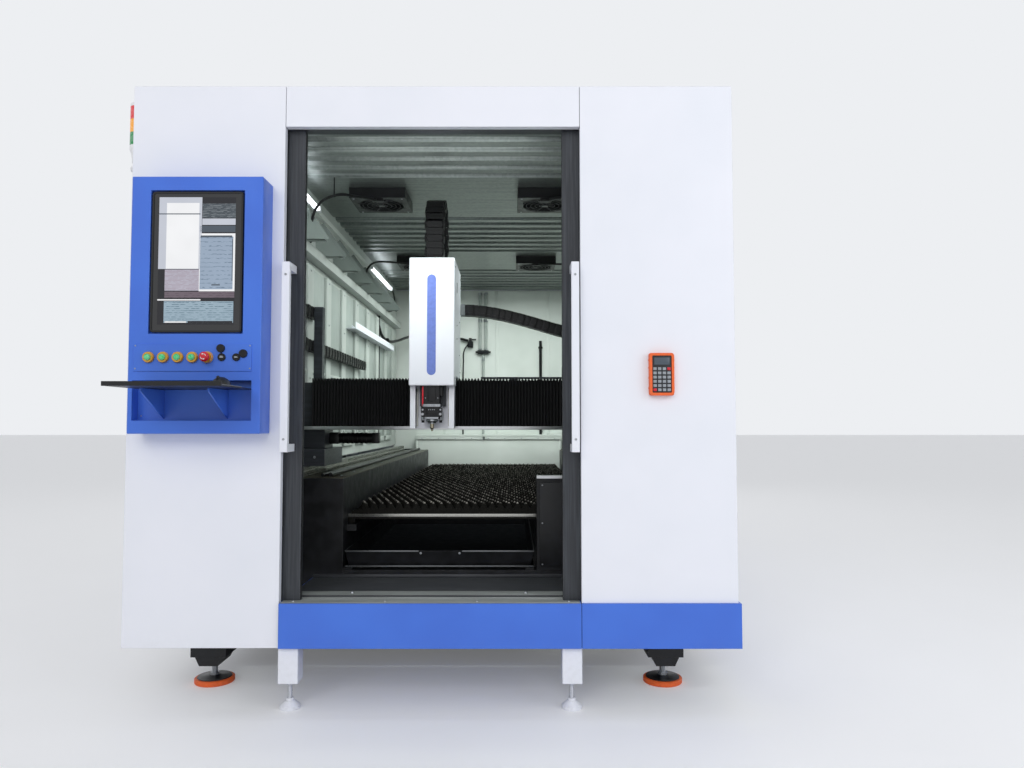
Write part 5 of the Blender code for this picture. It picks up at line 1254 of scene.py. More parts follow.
def buildLamps():
    face = -0.765  # front of the lamps' carrier strip
    z = cabinValues["lampZ"]
    tubes, holders = bmesh.new(), bmesh.new()
    for y0, y1 in (cabinValues["lampFrontY"], cabinValues["lampBackY"]):
        addRod(
            tubes, (face + 0.012, y0 + 0.028, z - 0.004), (face + 0.012, y1 - 0.028, z - 0.004), 0.0125, 20
        )
        addBlock(
            holders, (face - 0.012, face + 0.003), (y0 - 0.001, y1 + 0.001), (z - 0.016, z + 0.016), 0.0015
        )
        for y in (y0 + 0.012, y1 - 0.012):
            addBlock(holders, (face, face + 0.027), (y - 0.017, y + 0.017), (z - 0.019, z + 0.011), 0.004)
    finishPiece("lampTubes", tubes, ledTube)
    finishPiece("lampHolders", holders, whiteAbs)
    work = bmesh.new()
    angleOutline = [
        (-0.8, 2.285), (-0.766, 2.285), (-0.766, 2.3135), (-0.7685, 2.3135), (-0.7685, 2.288), (-0.8, 2.288)
    ]
    addPrism(
        work, angleOutline, "Y", (cabinValues["lampFrontY"][1] + 0.006, cabinValues["lampBackY"][0] - 0.006)
    )
    finishPiece("lampBridgeRail", work, cabinEnamel)
    radius = cabinValues["leadRadius"]
    leads = {
        "fanLeadFront": [
            (-0.438, 1.108, 2.334), (-0.50, 1.04, 2.326), (-0.612, 0.94, 2.304), (-0.690, 0.90, 2.235),
            (-0.722, 0.92, 2.15), (-0.742, 0.99, 2.085), (-0.782, 1.05, 2.063), (-0.802, 1.07, 2.061),
        ],
        "fanLeadRear": [
            (-0.438, 2.848, 2.334), (-0.52, 2.80, 2.333), (-0.62, 2.74, 2.330), (-0.70, 2.68, 2.315),
            (-0.742, 2.60, 2.260), (-0.744, 2.50, 2.160), (-0.748, 2.36, 2.090), (-0.768, 2.24, 2.070),
            (-0.802, 2.14, 2.069),
        ],
        "lampLeadRear": [
            (-0.754, 3.735, 2.297), (-0.738, 3.785, 2.262), (-0.732, 3.80, 2.20), (-0.736, 3.76, 2.13),
            (-0.752, 3.62, 2.078), (-0.776, 3.50, 2.068), (-0.802, 3.44, 2.067),
        ],
        "fanLeadRight": [
            (0.523, 1.108, 2.334), (0.60, 1.06, 2.330), (0.78, 1.02, 2.325), (0.96, 1.06, 2.315),
            (1.10, 1.12, 2.29), (1.172, 1.15, 2.27),
        ],
        "fanLeadRightRear": [
            (0.523, 2.848, 2.334), (0.60, 2.80, 2.326), (0.76, 2.77, 2.318), (0.94, 2.80, 2.322),
            (1.10, 2.85, 2.29), (1.172, 2.88, 2.27),
        ],
    }
    for name, points in leads.items():
        addCable(name, points, radius, cableSheath)
    work = bmesh.new()
    ties = [  # spot on a lead, and the lead's direction there
        ((-0.612, 0.94, 2.304), (-0.6, -0.35, -0.35)),
        ((-0.746, 2.43, 2.122), (0, -0.9, -0.5)),
        ((0.78, 1.02, 2.325), (1, 0, 0)),
    ]
    for spot, way in ties:
        addRing(work, Vector(spot), radius + 0.0006, 0.003, Vector(way).normalized(), 16, 5)
    for x, y in ((-0.612, 0.94), (0.78, 1.02), (0.76, 2.77)):  # bases that hold the ties to the ceiling
        addBlock(work, (x - 0.002, x + 0.002), (y - 0.006, y + 0.006), (2.305, 2.4002), 0.0005)
    finishPiece("leadTies", work, darkRubber)


# cabin: inner wall, rear wall and duct

wallValues = {
    "bayPitch": 0.42,
    "bayWidth": 0.32,
    "firstBayY": 0.36,
    "bays": 9,
    "infillProud": 0.0035,
    "gussetReach": 0.155,
    "gussetHeight": 0.19,
    "railTop": 2.060,
    "gussets": 8,
    "firstGussetY": 0.47,
    "rearLiningY": 4.4185,
    "liningX": (-0.828, 1.168),
    "ductFrontY": 4.25,
    "ductScrews": 9,
}


def buildInnerWall():
    x = cabinValues["wallX"]
    infills, folds, screws = bmesh.new(), bmesh.new(), bmesh.new()
    for number in range(wallValues["bays"]):
        y = wallValues["firstBayY"] + number * wallValues["bayPitch"]
        span = (y + 0.012, y + wallValues["bayWidth"] - 0.012)
        for z0, z1 in ((1.006, 1.392), (1.408, 1.972)):
            addBlock(infills, (x - 0.001, x + wallValues["infillProud"]), span, (z0, z1), 0.003)
        for edge in (y, y + wallValues["bayWidth"]):  # folded edges of the posts
            inward = 0.010 if edge == y else -0.010
            addBlock(
                folds,
                (x, x + 0.0176),
                (min(edge, edge + inward), max(edge, edge + inward)),
                (1.001, 1.979),
                0.0015,
            )
        addBlock(folds, (x, x + 0.012), (y, y + wallValues["bayWidth"]), (1.392, 1.408), 0.002)
        addBlock(folds, (x, x + 0.014), (y, y + wallValues["bayWidth"]), (0.962, 1.002), 0.002)
        for z in (1.06, 1.36, 1.70, 1.95):
            addScrew(screws, (x + 0.018, y - 0.05, z), (1, 0, 0), 0.006)
    # The infill sheets are a darker grey than the posts and the rear lining: painted shade of the left wall's
    # bays.
    finishPiece(
        "wallInfills", infills, powderCoat("shadedInfillEnamel", "grey_paint", "A6AEAA", "8F9894", 0.42)
    )
    finishPiece("wallPostFolds", folds, wallShadedEnamel)
    work = bmesh.new()
    reach, height = wallValues["gussetReach"], wallValues["gussetHeight"]
    low = wallValues["railTop"]
    for number in range(wallValues["gussets"]):
        y = wallValues["firstGussetY"] + number * wallValues["bayPitch"]
        corners = [(x, low), (x + reach, low), (x + 0.02, low + height), (x, low + height)]
        addPrism(work, corners, "Y", (y, y + 0.003))
        way = Vector((-(reach - 0.02), 0, height))
        turn = Matrix.Translation(Vector((x + (reach + 0.02) / 2, y + 0.022, low + height / 2)))
        turn = turn @ way.to_track_quat("Z", "Y").to_matrix().to_4x4()
        addTurnedBlock(work, (0.044, 0.003, way.length), turn @ Matrix.Rotation(pi / 2, 4, "Z"))
        addBlock(work, (x, x + reach), (y, y + 0.045), (low, low + 0.003))
    # The gussets' dark grey is painted shade: it stands for the dark diamond-shaped shade on the upper left
    # wall.
    finishPiece("wallGussets", work, powderCoat("shadedGussetEnamel", "grey_paint", "828B87", "757E7A", 0.45))
    work = bmesh.new()
    for z in (low - 0.0015, low - 0.0525):  # the rail's rolled lips
        addBlock(work, (x + 0.002, x + 0.058), (0.262, 4.268), (z, z + 0.0035), 0.0012)
    finishPiece("wallRailLips", work, wallShadedEnamel)
    work = bmesh.new()
    outline = [
        (-0.8, 1.750), (-0.732, 1.750), (-0.732, 1.796), (-0.735, 1.796), (-0.735, 1.753), (-0.8, 1.753)
    ]
    addPrism(work, outline, "Y", (2.12, 3.79))
    for y in (2.30, 2.94, 3.58):
        addPrism(work, [(-0.8, 1.7995), (-0.8, 1.7535), (-0.745, 1.7535)], "Y", (y, y + 0.004))
    finishPiece("chainShelfAngle", work, whitePowder)
    finishPiece("wallScrews", screws, zincSteel)
    hose = [
        (-0.806, 3.30, 2.000), (-0.790, 3.32, 1.93), (-0.774, 3.40, 1.845), (-0.740, 3.52, 1.812),
        (-0.700, 3.70, 1.830), (-0.650, 3.95, 1.885), (-0.600, 4.18, 1.930), (-0.520, 4.32, 1.950),
        (-0.380, 4.372, 1.950), (-0.220, 4.378, 1.930), (-0.106, 4.380, 1.905),
    ]
    addCable("gasHose", hose, 0.0125, cableSheath)
    work = bmesh.new()
    addRod(work, (-0.7915, 3.36, 0.985), (-0.7915, 3.36, 2.005), 0.0080, 14)
    for z in (1.12, 1.45, 1.90):
        addBlock(work, (-0.8, -0.7845), (3.348, 3.372), (z - 0.009, z + 0.009), 0.001)
    addTurnedBlock(work, (0.052, 0.040, 0.030), Matrix.Translation((-0.752, 3.475, 1.815)), 0.006)
    finishPiece("wallConduit", work, darkRubber)


def buildRearWall():
    y = wallValues["rearLiningY"]
    lining = bmesh.new()
    addBlock(lining, wallValues["liningX"], (y, y + 0.0012), (0.862, 2.398))
    splash = bmesh.new()
    addBlock(splash, wallValues["liningX"], (y, y + 0.0012), (0.262, 0.860))
    finishPiece("rearSplashSheet", splash, blackEnamel)
    for x in (-0.828, -0.33, 0.17, 0.67, 1.168):  # folded joints between the lining sheets
        addBlock(lining, (x - 0.014, x + 0.014), (y - 0.003, y), (1.004, 2.396), 0.001)
    finishPiece("rearLining", lining, cabinEnamel)
    pipes, collars, valves = bmesh.new(), bmesh.new(), bmesh.new()
    for x in (0.009, 0.064):
        addRod(pipes, (x, y - 0.024, 1.80), (x, y - 0.024, 2.372), 0.0135, 20)
        for z in (2.362, 2.10, 1.815):
            addRod(collars, (x, y - 0.024, z - 0.012), (x, y - 0.024, z + 0.012), 0.0175, 20)
            addBlock(collars, (x - 0.006, x + 0.006), (y - 0.024, y), (z - 0.008, z + 0.008))
    addRod(pipes, (0.040, y - 0.020, 1.002), (0.040, y - 0.020, 1.79), 0.0120, 20)
    for z in (1.10, 1.45, 1.72):
        addRod(collars, (0.040, y - 0.020, z - 0.010), (0.040, y - 0.020, z + 0.010), 0.0150, 20)
        addBlock(collars, (0.034, 0.046), (y - 0.020, y), (z - 0.007, z + 0.007))
    addBlock(valves, (-0.016, 0.094), (y - 0.052, y - 0.008), (1.776, 1.812), 0.006)
    addRod(valves, (0.094, y - 0.030, 1.795), (0.112, y - 0.030, 1.795), 0.010, 12)
    addRod(valves, (-0.034, y - 0.030, 1.795), (-0.016, y - 0.030, 1.795), 0.010, 12)
    addBlock(valves, (-0.112, -0.058), (y - 0.062, y - 0.004), (1.838, 1.898), 0.008)
    addRod(valves, (-0.085, y - 0.034, 1.896), (-0.085, y - 0.034, 1.930), 0.014, 14)
    addBlock(valves, (-0.070, -0.028), (y - 0.050, y - 0.030), (1.908, 1.922), 0.003)
    addRod(valves, (-0.085, y - 0.066, 1.868), (-0.085, y - 0.058, 1.868), 0.018, 16)
    finishPiece("airPipes", pipes, mouldedPlastic("paintedAirPipe", "grey_paint", "A6AEAA", 0.4))
    finishPiece("airPipeClips", collars, zincSteel)
    finishPiece("airValves", valves, blackAbs)
    work = bmesh.new()
    addRod(work, (0.594, y - 0.014, 1.0), (0.594, y - 0.014, 1.905), 0.0135, 16)
    for z in (1.06, 1.45, 1.84):
        addBlock(work, (0.574, 0.614), (y - 0.029, y), (z - 0.008, z + 0.008), 0.002)
    finishPiece("rearConduit", work, darkRubber)
    addCable(
        "airHose",
        [
            (-0.103, 4.352, 1.868), (-0.14, 4.31, 1.80), (-0.15, 4.35, 1.70), (-0.155, 4.401, 1.60),
            (-0.155, 4.412, 1.30), (-0.155, 4.412, 1.001),
        ],
        0.007,
        cableSheath,
    )


def buildDuct():
    # The suction duct at the back: a screwed front panel, a split top flange and side frames.
    low, high = boxOf("extraction_duct")
    front = wallValues["ductFrontY"]
    work, seams = bmesh.new(), bmesh.new()
    addBlock(
        work, (low.x + 0.018, high.x - 0.018), (front - 0.004, front), (low.z + 0.02, high.z - 0.052), 0.002
    )
    for x0, x1 in ((low.x + 0.004, 0.040), (0.064, high.x - 0.004)):
        addBlock(work, (x0, x1), (front - 0.016, front), (high.z - 0.046, high.z - 0.024), 0.003)
        addBlock(work, (x0, x1), (front - 0.010, front), (high.z - 0.022, high.z - 0.003), 0.003)
    addBlock(
        seams, (low.x + 0.006, high.x - 0.006), (front - 0.003, front), (high.z - 0.0525, high.z - 0.0465)
    )
    for x in (low.x + 0.010, high.x - 0.010):
        addBlock(work, (x - 0.008, x + 0.008), (front - 0.007, front), (low.z + 0.01, high.z - 0.05), 0.002)
    finishPiece("ductPanel", work, cabinEnamel)
    finishPiece("ductSeal", seams, darkRubber)
    work = bmesh.new()
    addRod(work, (0.052, front - 0.018, high.z - 0.048), (0.052, front - 0.018, high.z - 0.016), 0.007, 14)
    pitch = (high.x - low.x - 0.12) / (wallValues["ductScrews"] - 1)
    for number in range(wallValues["ductScrews"]):
        addScrew(
            work,
            (low.x + 0.06 + number * pitch, front - 0.016, high.z - 0.035),
            (0, -1, 0),
            0.005,
        )
    finishPiece("ductFasteners", work, zincSteel)


buildFans()
buildLamps()
buildInnerWall()
buildRearWall()
buildDuct()
print("cabin fittings made")

# gantry and cutting head

headValues = {
    "stripeX": -0.081,
    "stripeWidth": 0.044,
    "stripeZ": (1.353, 1.854),
    "pleatMm": 16,
    "pleatDepth": 0.009,
    "chainPitch": 0.036,
    "chainHeight": 0.060,
    "acrossWidth": 0.080,
    "alongWidth": 0.036,
    "archWidth": 0.100,
    "archRadius": 0.135,
    "archHoseRadius": 0.011,
}


def buildHeadCover():
    low, high = boxOf("head_cover")
    x, half = headValues["stripeX"], headValues["stripeWidth"] / 2
    bottom, top = headValues["stripeZ"]
    work = bmesh.new()
    outline = []
    for end, turn in ((top - half, 0), (bottom + half, pi)):
        for step in range(13):
            angle = turn + pi * step / 12
            outline.append((x + half * cos(angle), end + half * sin(angle)))
    addPrism(work, outline, "Y", (low.y - 0.0012, low.y + 0.0008))
    finishPiece("coverStripe", work, stripeAcrylic, "head")
    work = bmesh.new()
    side = high.x
    addBlock(work, (side - 0.001, side + 0.0008), (0.918, 0.944), (1.790, 1.842), 0.0004)
    screwSpots = [
        (0.80, 1.90), (1.16, 1.90), (0.80, 1.34), (1.16, 1.39), (0.93, 1.62), (0.93, 1.55), (1.12, 1.66),
        (1.12, 1.48),
    ]
    for y, z in screwSpots:
        addScrew(work, (side, y, z), (1, 0, 0), 0.0035)
        addScrew(work, (low.x, y, z), (-1, 0, 0), 0.0035)
    finishPiece("coverSlotAndScrews", work, darkRubber, "head")
    work = bmesh.new()
    addBlock(work, (-0.127, -0.033), (0.858, 1.202), (high.z - 0.0005, high.z + 0.0050), 0.002)
    finishPiece("archFoot", work, satinBlack, "head")
    work = bmesh.new()
    addBlock(work, (side, side + 0.0235), (1.219, 1.2995), (1.7145, 1.7765), 0.002)
    finishPiece(
        "chainOutlet", work, mouldedPlastic("greyChainOutlet", "grey_paint", "7D8283", 0.45), "head"
    )


def buildCuttingHead():
    # Body details below the cover: slides, lens drawer, water and gas fittings, sensor collar.
    low, high = boxOf("cutting_head")
    middle = Vector(((low.x + 0.014 + high.x) / 2, (low.y + high.y) / 2, 0))
    bright, dark, red = bmesh.new(), bmesh.new(), bmesh.new()
    for z0, z1, width in ((1.196, 1.210, 0.088), (1.136, 1.146, 0.070)):
        addBlock(
            bright,
            (middle.x - width / 2, middle.x + width / 2),
            (low.y - 0.003, high.y - 0.002),
            (z0, z1),
            0.002,
        )
    addSpun(
        bright, [(0.0305, 1.1345), (0.0305, 1.1255), (0.024, 1.1225), (0.024, 1.1345)], middle, steps=28
    )
    addSpun(
        bright, [(0.0170, 1.1210), (0.0195, 1.1190), (0.0195, 1.1135), (0.0125, 1.1125)], middle, steps=28
    )
    for sign in (-1, 1):
        x = middle.x + sign * 0.044
        addBlock(dark, (x - 0.007, x + 0.007), (low.y + 0.004, low.y + 0.044), (1.146, 1.190), 0.003)
        addRod(bright, (x, low.y - 0.004, 1.160), (x, low.y + 0.006, 1.160), 0.0065, 16)
        addRod(bright, (x, low.y - 0.002, 1.182), (x, low.y + 0.006, 1.182), 0.0045, 14)
        addRod(bright, (x, low.y + 0.022, 1.128), (x, low.y + 0.022, 1.147), 0.0060, 14)
        addRod(dark, (x, low.y + 0.022, 1.118), (x, low.y + 0.022, 1.130), 0.0075, 14)
        addRod(
            bright,
            (x + sign * 0.006, low.y + 0.034, 1.128),
            (x + sign * 0.006, low.y + 0.034, 1.170),
            0.0055,
            12,
        )
        addBlock(dark, (x - 0.010, x + 0.010), (low.y + 0.012, low.y + 0.040), (1.250, 1.300), 0.003)
    addBlock(
        dark, (middle.x - 0.028, middle.x + 0.028), (low.y - 0.006, low.y + 0.002), (1.158, 1.190), 0.002
    )
    addBlock(
        dark, (middle.x - 0.020, middle.x + 0.020), (low.y - 0.004, low.y + 0.002), (1.222, 1.290), 0.002
    )
    for x in (-0.014, -0.005, 0.005, 0.014):
        addScrew(bright, (middle.x + x, low.y - 0.006, 1.182), (0, -1, 0), 0.0028)
        addScrew(bright, (middle.x + x, low.y - 0.003, 1.203), (0, -1, 0), 0.0030)
    for x in (-0.031, 0.031):
        addScrew(bright, (middle.x + x, low.y, 1.31), (0, -1, 0), 0.003)
        addScrew(bright, (middle.x + x, low.y, 1.24), (0, -1, 0), 0.003)
    addBlock(
        red, (middle.x - 0.0475, middle.x - 0.0405), (low.y + 0.001, low.y + 0.014), (1.200, 1.298), 0.001
    )
    finishPiece("cuttingHeadFittings", bright, zincSteel, "z_axis")
    finishPiece("cuttingHeadBlocks", dark, satinBlack, "z_axis")
    finishPiece("cuttingHeadRibbon", red, redAbs, "z_axis")
    work = bmesh.new()
    tip = [
        (0.0022, 1.0765), (0.0045, 1.0762), (0.0062, 1.0850), (0.0086, 1.0905), (0.0112, 1.0925),
        (0.0112, 1.0985),
    ]
    tip += [
        (0.0098, 1.0995), (0.0098, 1.1035), (0.0110, 1.1045), (0.0110, 1.1118), (0.0020, 1.1118),
        (0.0022, 1.0765),
    ]
    nozzleLow, nozzleHigh = boxOf("nozzle")
    addSpun(
        work, tip, Vector(((nozzleLow.x + nozzleHigh.x) / 2, (nozzleLow.y + nozzleHigh.y) / 2, 0)), steps=32
    )
    finishPiece("copperNozzle", work, nickelBrass, "z_axis", ["nozzle"])
    work = bmesh.new()
    plateLow, plateHigh = boxOf("head_plate")
    for x in (plateLow.x + 0.013, plateHigh.x - 0.013):  # rails the slide runs on, and their bolts
        inner = x + (0.017 if x < middle.x else -0.017)
        addBlock(work, (inner - 0.004, inner + 0.004), (0.852, 0.8638), (1.100, 1.290), 0.001)
        for z in (1.13, 1.19, 1.25):
            addScrew(work, (inner, 0.852, z), (0, -1, 0), 0.003)
    finishPiece("slideRails", work, groundSteel, "head")


def addBellows(x0, x1, y, z, pleat, depth):
    # Welded-pleat cover: a box cut into rings along X, every second ring drawn in, sewn edges turned out.
    work = bmesh.new()
    addBlock(work, (x0, x1), y, z)
    rings = 2 * round((x1 - x0) / pleat)
    longEdges = [e for e in work.edges if abs(e.verts[0].co.x - e.verts[1].co.x) > (x1 - x0) / 2]
    bmesh.ops.subdivide_edges(work, edges=longEdges, cuts=rings - 1, use_grid_fill=True)
    step = (x1 - x0) / rings
    for corner in work.verts:
        number = round((corner.co.x - x0) / step)
        if number % 2:
            corner.co.y += depth if corner.co.y < (y[0] + y[1]) / 2 else 0
            corner.co.z -= depth * 1.6 if corner.co.z > (z[0] + z[1]) / 2 else 0
    crests = [c for c in work.verts if round((c.co.x - x0) / step) % 2 == 0]
    foldEdges = [
        e
        for e in work.edges
        if e.verts[0] in crests and e.verts[1] in crests and 0 < e.verts[0].co.x - x0 < x1 - x0
    ]
    bmesh.ops.bevel(
        work, geom=foldEdges, offset=0.0011, segments=2, profile=0.5, affect="EDGES", material=-1
    )
    return work


def buildBellows():
    pleat, depth = headValues["pleatMm"] * mm, headValues["pleatDepth"]
    halves = [("bellowsLeft", "bellows_left", 0, 1), ("bellowsRight", "bellows_right", 1, 0)]
    for name, node, start, end in halves:
        low, high = boxOf(node)
        work = addBellows(low.x, high.x, (low.y, high.y), (low.z, high.z), pleat, depth)
        piece = finishPiece(name, work, bellowsCloth, None, [node], 25)
        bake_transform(piece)


def chainPiece(name, path, across, width):
    work = bmesh.new()
    addChain(work, path, across, width, headValues["chainHeight"], headValues["chainPitch"])
    mesh = bpy.data.meshes.new(name)
    bmesh.ops.recalc_face_normals(work, faces=work.faces)
    work.to_mesh(mesh)
    work.free()
    return mesh


def buildChains():
    y = 1.26
    startX, turnX, low, highStart, highEnd = 0.033, 0.92, 1.400, 1.7453, 1.5798
    radius = (highEnd - low) / 2
    path = []
    for number in range(14):
        share = number / 14
        path.append(
            (
                startX + (turnX - startX) * share,
                y,
                highStart - (highStart - highEnd) * (1 - cos(pi * share)) / 2,
            )
        )
    path += list(arcPoints((turnX, y, low + radius), radius, pi / 2, -pi / 2, "XZ"))
    path.append((0.60, y, low))
    mesh = chainPiece("chainAcross", path, (0, 1, 0), headValues["acrossWidth"])
    piece = place("chainAcross", mesh, chainNylon, None)
    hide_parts("chain_across")
    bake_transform(piece)
    x = (boxOf("chain_along")[0].x + boxOf("chain_along")[1].x) / 2
    low, radius = 1.5293, 0.0903
    path = [(x, 2.60, low)] + list(arcPoints((x, 0.98, low + radius), radius, -pi / 2, -3 * pi / 2, "YZ"))
    path.append((x, 1.20, low + 2 * radius))
    mesh = chainPiece("chainAlong", path, (1, 0, 0), headValues["alongWidth"])
    piece = place("chainAlong", mesh, chainNylon, None)
    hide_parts("chain_along")
    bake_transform(piece)
    archLow, archHigh = boxOf("chain_arch")
    x, y = (archLow.x + archHigh.x) / 2, (archLow.y + archHigh.y) / 2
    radius = headValues["archRadius"]
    spring = archHigh.z - 0.030 - radius
    path = [(x, y - radius, archLow.z)] + list(
        arcPoints((x, y, spring), radius, pi, 0, "YZ")
    ) + [(x, y + radius, archLow.z)]
    mesh = chainPiece("chainArch", path, (1, 0, 0), headValues["archWidth"])
    piece = place("chainArch", mesh, chainNylon, "head")
    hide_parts("chain_arch")
    for shift in (-0.018, 0.0, 0.018):  # hoses inside the arch
        route = [(x + shift, point[1], point[2]) for point in path[::3]]
        addCable(f"archHose{shift * 1000 + 50:.0f}", route, headValues["archHoseRadius"], cableSheath, "head")


def buildGantryTrim():
    work = bmesh.new()
    addBlock(work, (-0.762, 1.062), (0.8798, 0.8822), (1.0825, 1.0995), 0.0006)
    addBlock(work, (-0.758, 1.058), (0.8798, 0.9280), (1.0822, 1.0842), 0.0005)
    finishPiece("gantryLipStrip", work, brushedAluminium, "gantry")
    work = bmesh.new()
    for side, way in ((-0.648, 1), (0.948, -1)):  # drive motors on the posts
        addRod(work, (side, 1.07, 1.036), (side + way * 0.255, 1.07, 1.036), 0.027, 24)
        addBlock(work, sorted((side, side + way * 0.050)), (1.040, 1.100), (1.006, 1.066), 0.004)
        addBlock(
            work, sorted((side + way * 0.225, side + way * 0.262)), (1.042, 1.098), (1.008, 1.064), 0.004
        )
        for number in range(6):  # cooling ribs
            at = side + way * (0.065 + number * 0.024)
            addRod(work, (at, 1.07, 1.036), (at + way * 0.012, 1.07, 1.036), 0.0295, 24)
    finishPiece("gantryDrives", work, satinBlack, "gantry")
    work = bmesh.new()
    for x in (-0.70, 1.00):
        for dx in (-0.03, 0.03):
            addScrew(work, (x + dx, 0.8300, 0.945), (0, -1, 0), 0.007)
    finishPiece("gantryBolts", work, zincSteel, "gantry")


buildHeadCover()
buildCuttingHead()
buildBellows()
buildChains()
buildGantryTrim()
print("gantry and head made")

# bed, table, drawer, doors and outer trim

bedValues = {
    "beamTop": 0.860,
    "leftBeamX": (-0.800, -0.460),
    "rightBeamX": (0.760, 1.100),
    "beamY": (0.540, 4.150),
    "rackTooth": 0.0126,
    "rackY": (0.60, 4.12),
    "rackHalf": 0.010,
    "railBolts": 29,
    "railBoltPitch": 0.12,
    "slatPitch": 0.047,
    "toothPitch": 0.040,
    "slatThickness": 0.0025,
    "bearerWidth": 0.035,
    "footRimRadius": 0.083,
    "sideJointY": (1.12, 2.22, 3.32),
    "rearJointX": (-0.40, 0.40),
    "latchY": (0.42, 1.50, 2.60, 3.70),
    "latchZ": (0.55, 1.25, 1.95),
}


def buildSlats(low, high):
    work = bmesh.new()
    bearer = bedValues["bearerWidth"]
    for x0, x1 in ((low.x, low.x + bearer), (high.x - bearer, high.x)):
        addBlock(work, (x0, x1), (low.y, high.y), (low.z, 0.685), 0.002)
    pitch = bedValues["slatPitch"]
    tooth = bedValues["toothPitch"]
    left, right = low.x + 0.036, high.x - 0.036
    count = int((high.y - low.y - 0.01) / pitch)
    for number in range(count + 1):
        y = low.y + 0.0015 + number * pitch
        shift = (number % 3) * tooth / 3
        outline = [(left - 0.02, 0.662), (right + 0.02, 0.662), (right + 0.02, 0.700)]
        x = right - shift
        outline.append((right, 0.712))
        while x - tooth > left:
            outline += [(x - tooth * 0.46, high.z), (x - tooth * 0.54, high.z), (x - tooth, 0.709)]
            x -= tooth
        outline += [(left - 0.02, 0.700)]
        addPrism(work, outline, "Y", (y, y + bedValues["slatThickness"]))
    finishPiece("slatTable", work, slatSteel, replaces=["slat_table"], sharp=20)


def buildBedTrim():
    baffle = bmesh.new()
    addBlock(baffle, (-0.458, 0.758), (2.120, 2.123), (0.245, 0.638))
    finishPiece("underTableBaffle", baffle, blackEnamel)
    top = bedValues["beamTop"]
    y0, y1 = bedValues["beamY"]
    covers, racks, dark, bolts = bmesh.new(), bmesh.new(), bmesh.new(), bmesh.new()
    for (x0, x1), inward in ((bedValues["leftBeamX"], 1), (bedValues["rightBeamX"], -1)):
        rail = x0 + 0.10 if inward > 0 else x1 - 0.10
        inner = x1 if inward > 0 else x0
        span = (rail + inward * 0.036, inner - inward * 0.028)
        addBlock(covers, (min(span), max(span)), (y0 + 0.03, y1 - 0.03), (top, top + 0.003), 0.001)
        addBlock(
            covers,
            (inner - 0.024, inner - 0.001) if inward > 0 else (inner + 0.001, inner + 0.024),
            (y0, y1),
            (top, top + 0.004),
            0.0012,
        )
        rackX = rail - inward * 0.050
        rackSpan = (rackX - bedValues["rackHalf"], rackX + bedValues["rackHalf"])
        rackStart, rackEnd = bedValues["rackY"]
        addBlock(racks, rackSpan, (rackStart, rackEnd), (top, top + 0.018), 0.001)
        teeth = int((rackEnd - rackStart - 0.02) / (bedValues["rackTooth"] * 2))
        for number in range(teeth):
            y = rackStart + 0.005 + number * bedValues["rackTooth"] * 2
            addBlock(racks, rackSpan, (y, y + bedValues["rackTooth"]), (top + 0.0175, top + 0.0225))
        for number in range(bedValues["railBolts"]):
            # caps flush with the rail, so the carriage clears them
            spot = Vector((rail, rackStart + 0.06 + number * bedValues["railBoltPitch"], top))
            addSpun(bolts, [(0, 0.0404), (0.0075, 0.0404), (0.0078, 0.0400), (0, 0.0400)], spot, steps=14)
        for number in range(12):
            addScrew(bolts, (inner - inward * 0.046, 0.70 + number * 0.29, top + 0.003), (0, 0, 1), 0.006)
    addBlock(covers, (0.7605, 1.0995), (0.5370, 0.5400), (top - 0.022, top + 0.003), 0.001)
    addRod(dark, (-0.540, 0.62, top + 0.013), (-0.540, 4.10, top + 0.013), 0.010, 10)
    addRod(dark, (-0.578, 0.62, top + 0.011), (-0.578, 4.10, top + 0.011), 0.008, 10)
    finishPiece("bedCovers", covers, railCoverSteel)
    finishPiece("gearRacks", racks, groundSteel)
    finishPiece("bedHoses", dark, cableSheath)
    finishPiece("bedBolts", bolts, zincSteel)
    low, high = boxOf("slat_table")
    buildSlats(low, high)
    work = bmesh.new()
    addBlock(
        work, (low.x + 0.002, high.x - 0.002), (low.y - 0.0006, low.y + 0.0012), (0.672, 0.6865), 0.0004
    )
    addBlock(
        work, (low.x + 0.002, high.x - 0.002), (low.y + 0.001, low.y + 0.032), (0.6848, 0.6868), 0.0005
    )
    finishPiece("tableFrontEdge", work, groundSteel)


def buildDrawer():
    low, high = boxOf("scrap_drawer")
    work = bmesh.new()
    for x0, x1 in ((low.x, -0.115), (0.085, high.x)):
        addBlock(
            work,
            (x0 + 0.002, x1),
            (low.y - 0.0012, low.y + 0.0022),
            (high.z - 0.006, high.z + 0.0008),
            0.0006,
        )
    addBlock(
        work,
        (low.x + 0.002, high.x - 0.002),
        (low.y - 0.0016, low.y + 0.003),
        (low.z + 0.001, low.z + 0.008),
        0.0008,
    )
    for x in (low.x + 0.001, high.x - 0.001):
        addBlock(
            work,
            (x - 0.0014, x + 0.0014),
            (low.y, high.y - 0.01),
            (high.z - 0.004, high.z + 0.0008),
            0.0005,
        )
    finishPiece(
        "drawerEdges",
        work,
        mouldedPlastic("rubbedDrawerEdge", "bright_steel", "8B8E90", 0.35, Metallic=0.8),
        "drawer",
    )
    work = bmesh.new()
    for x in (-0.105, 0.075):
        addScrew(work, (x, low.y, high.z - 0.012), (0, -1, 0), 0.006)
    finishPiece("drawerScrews", work, zincSteel, "drawer")


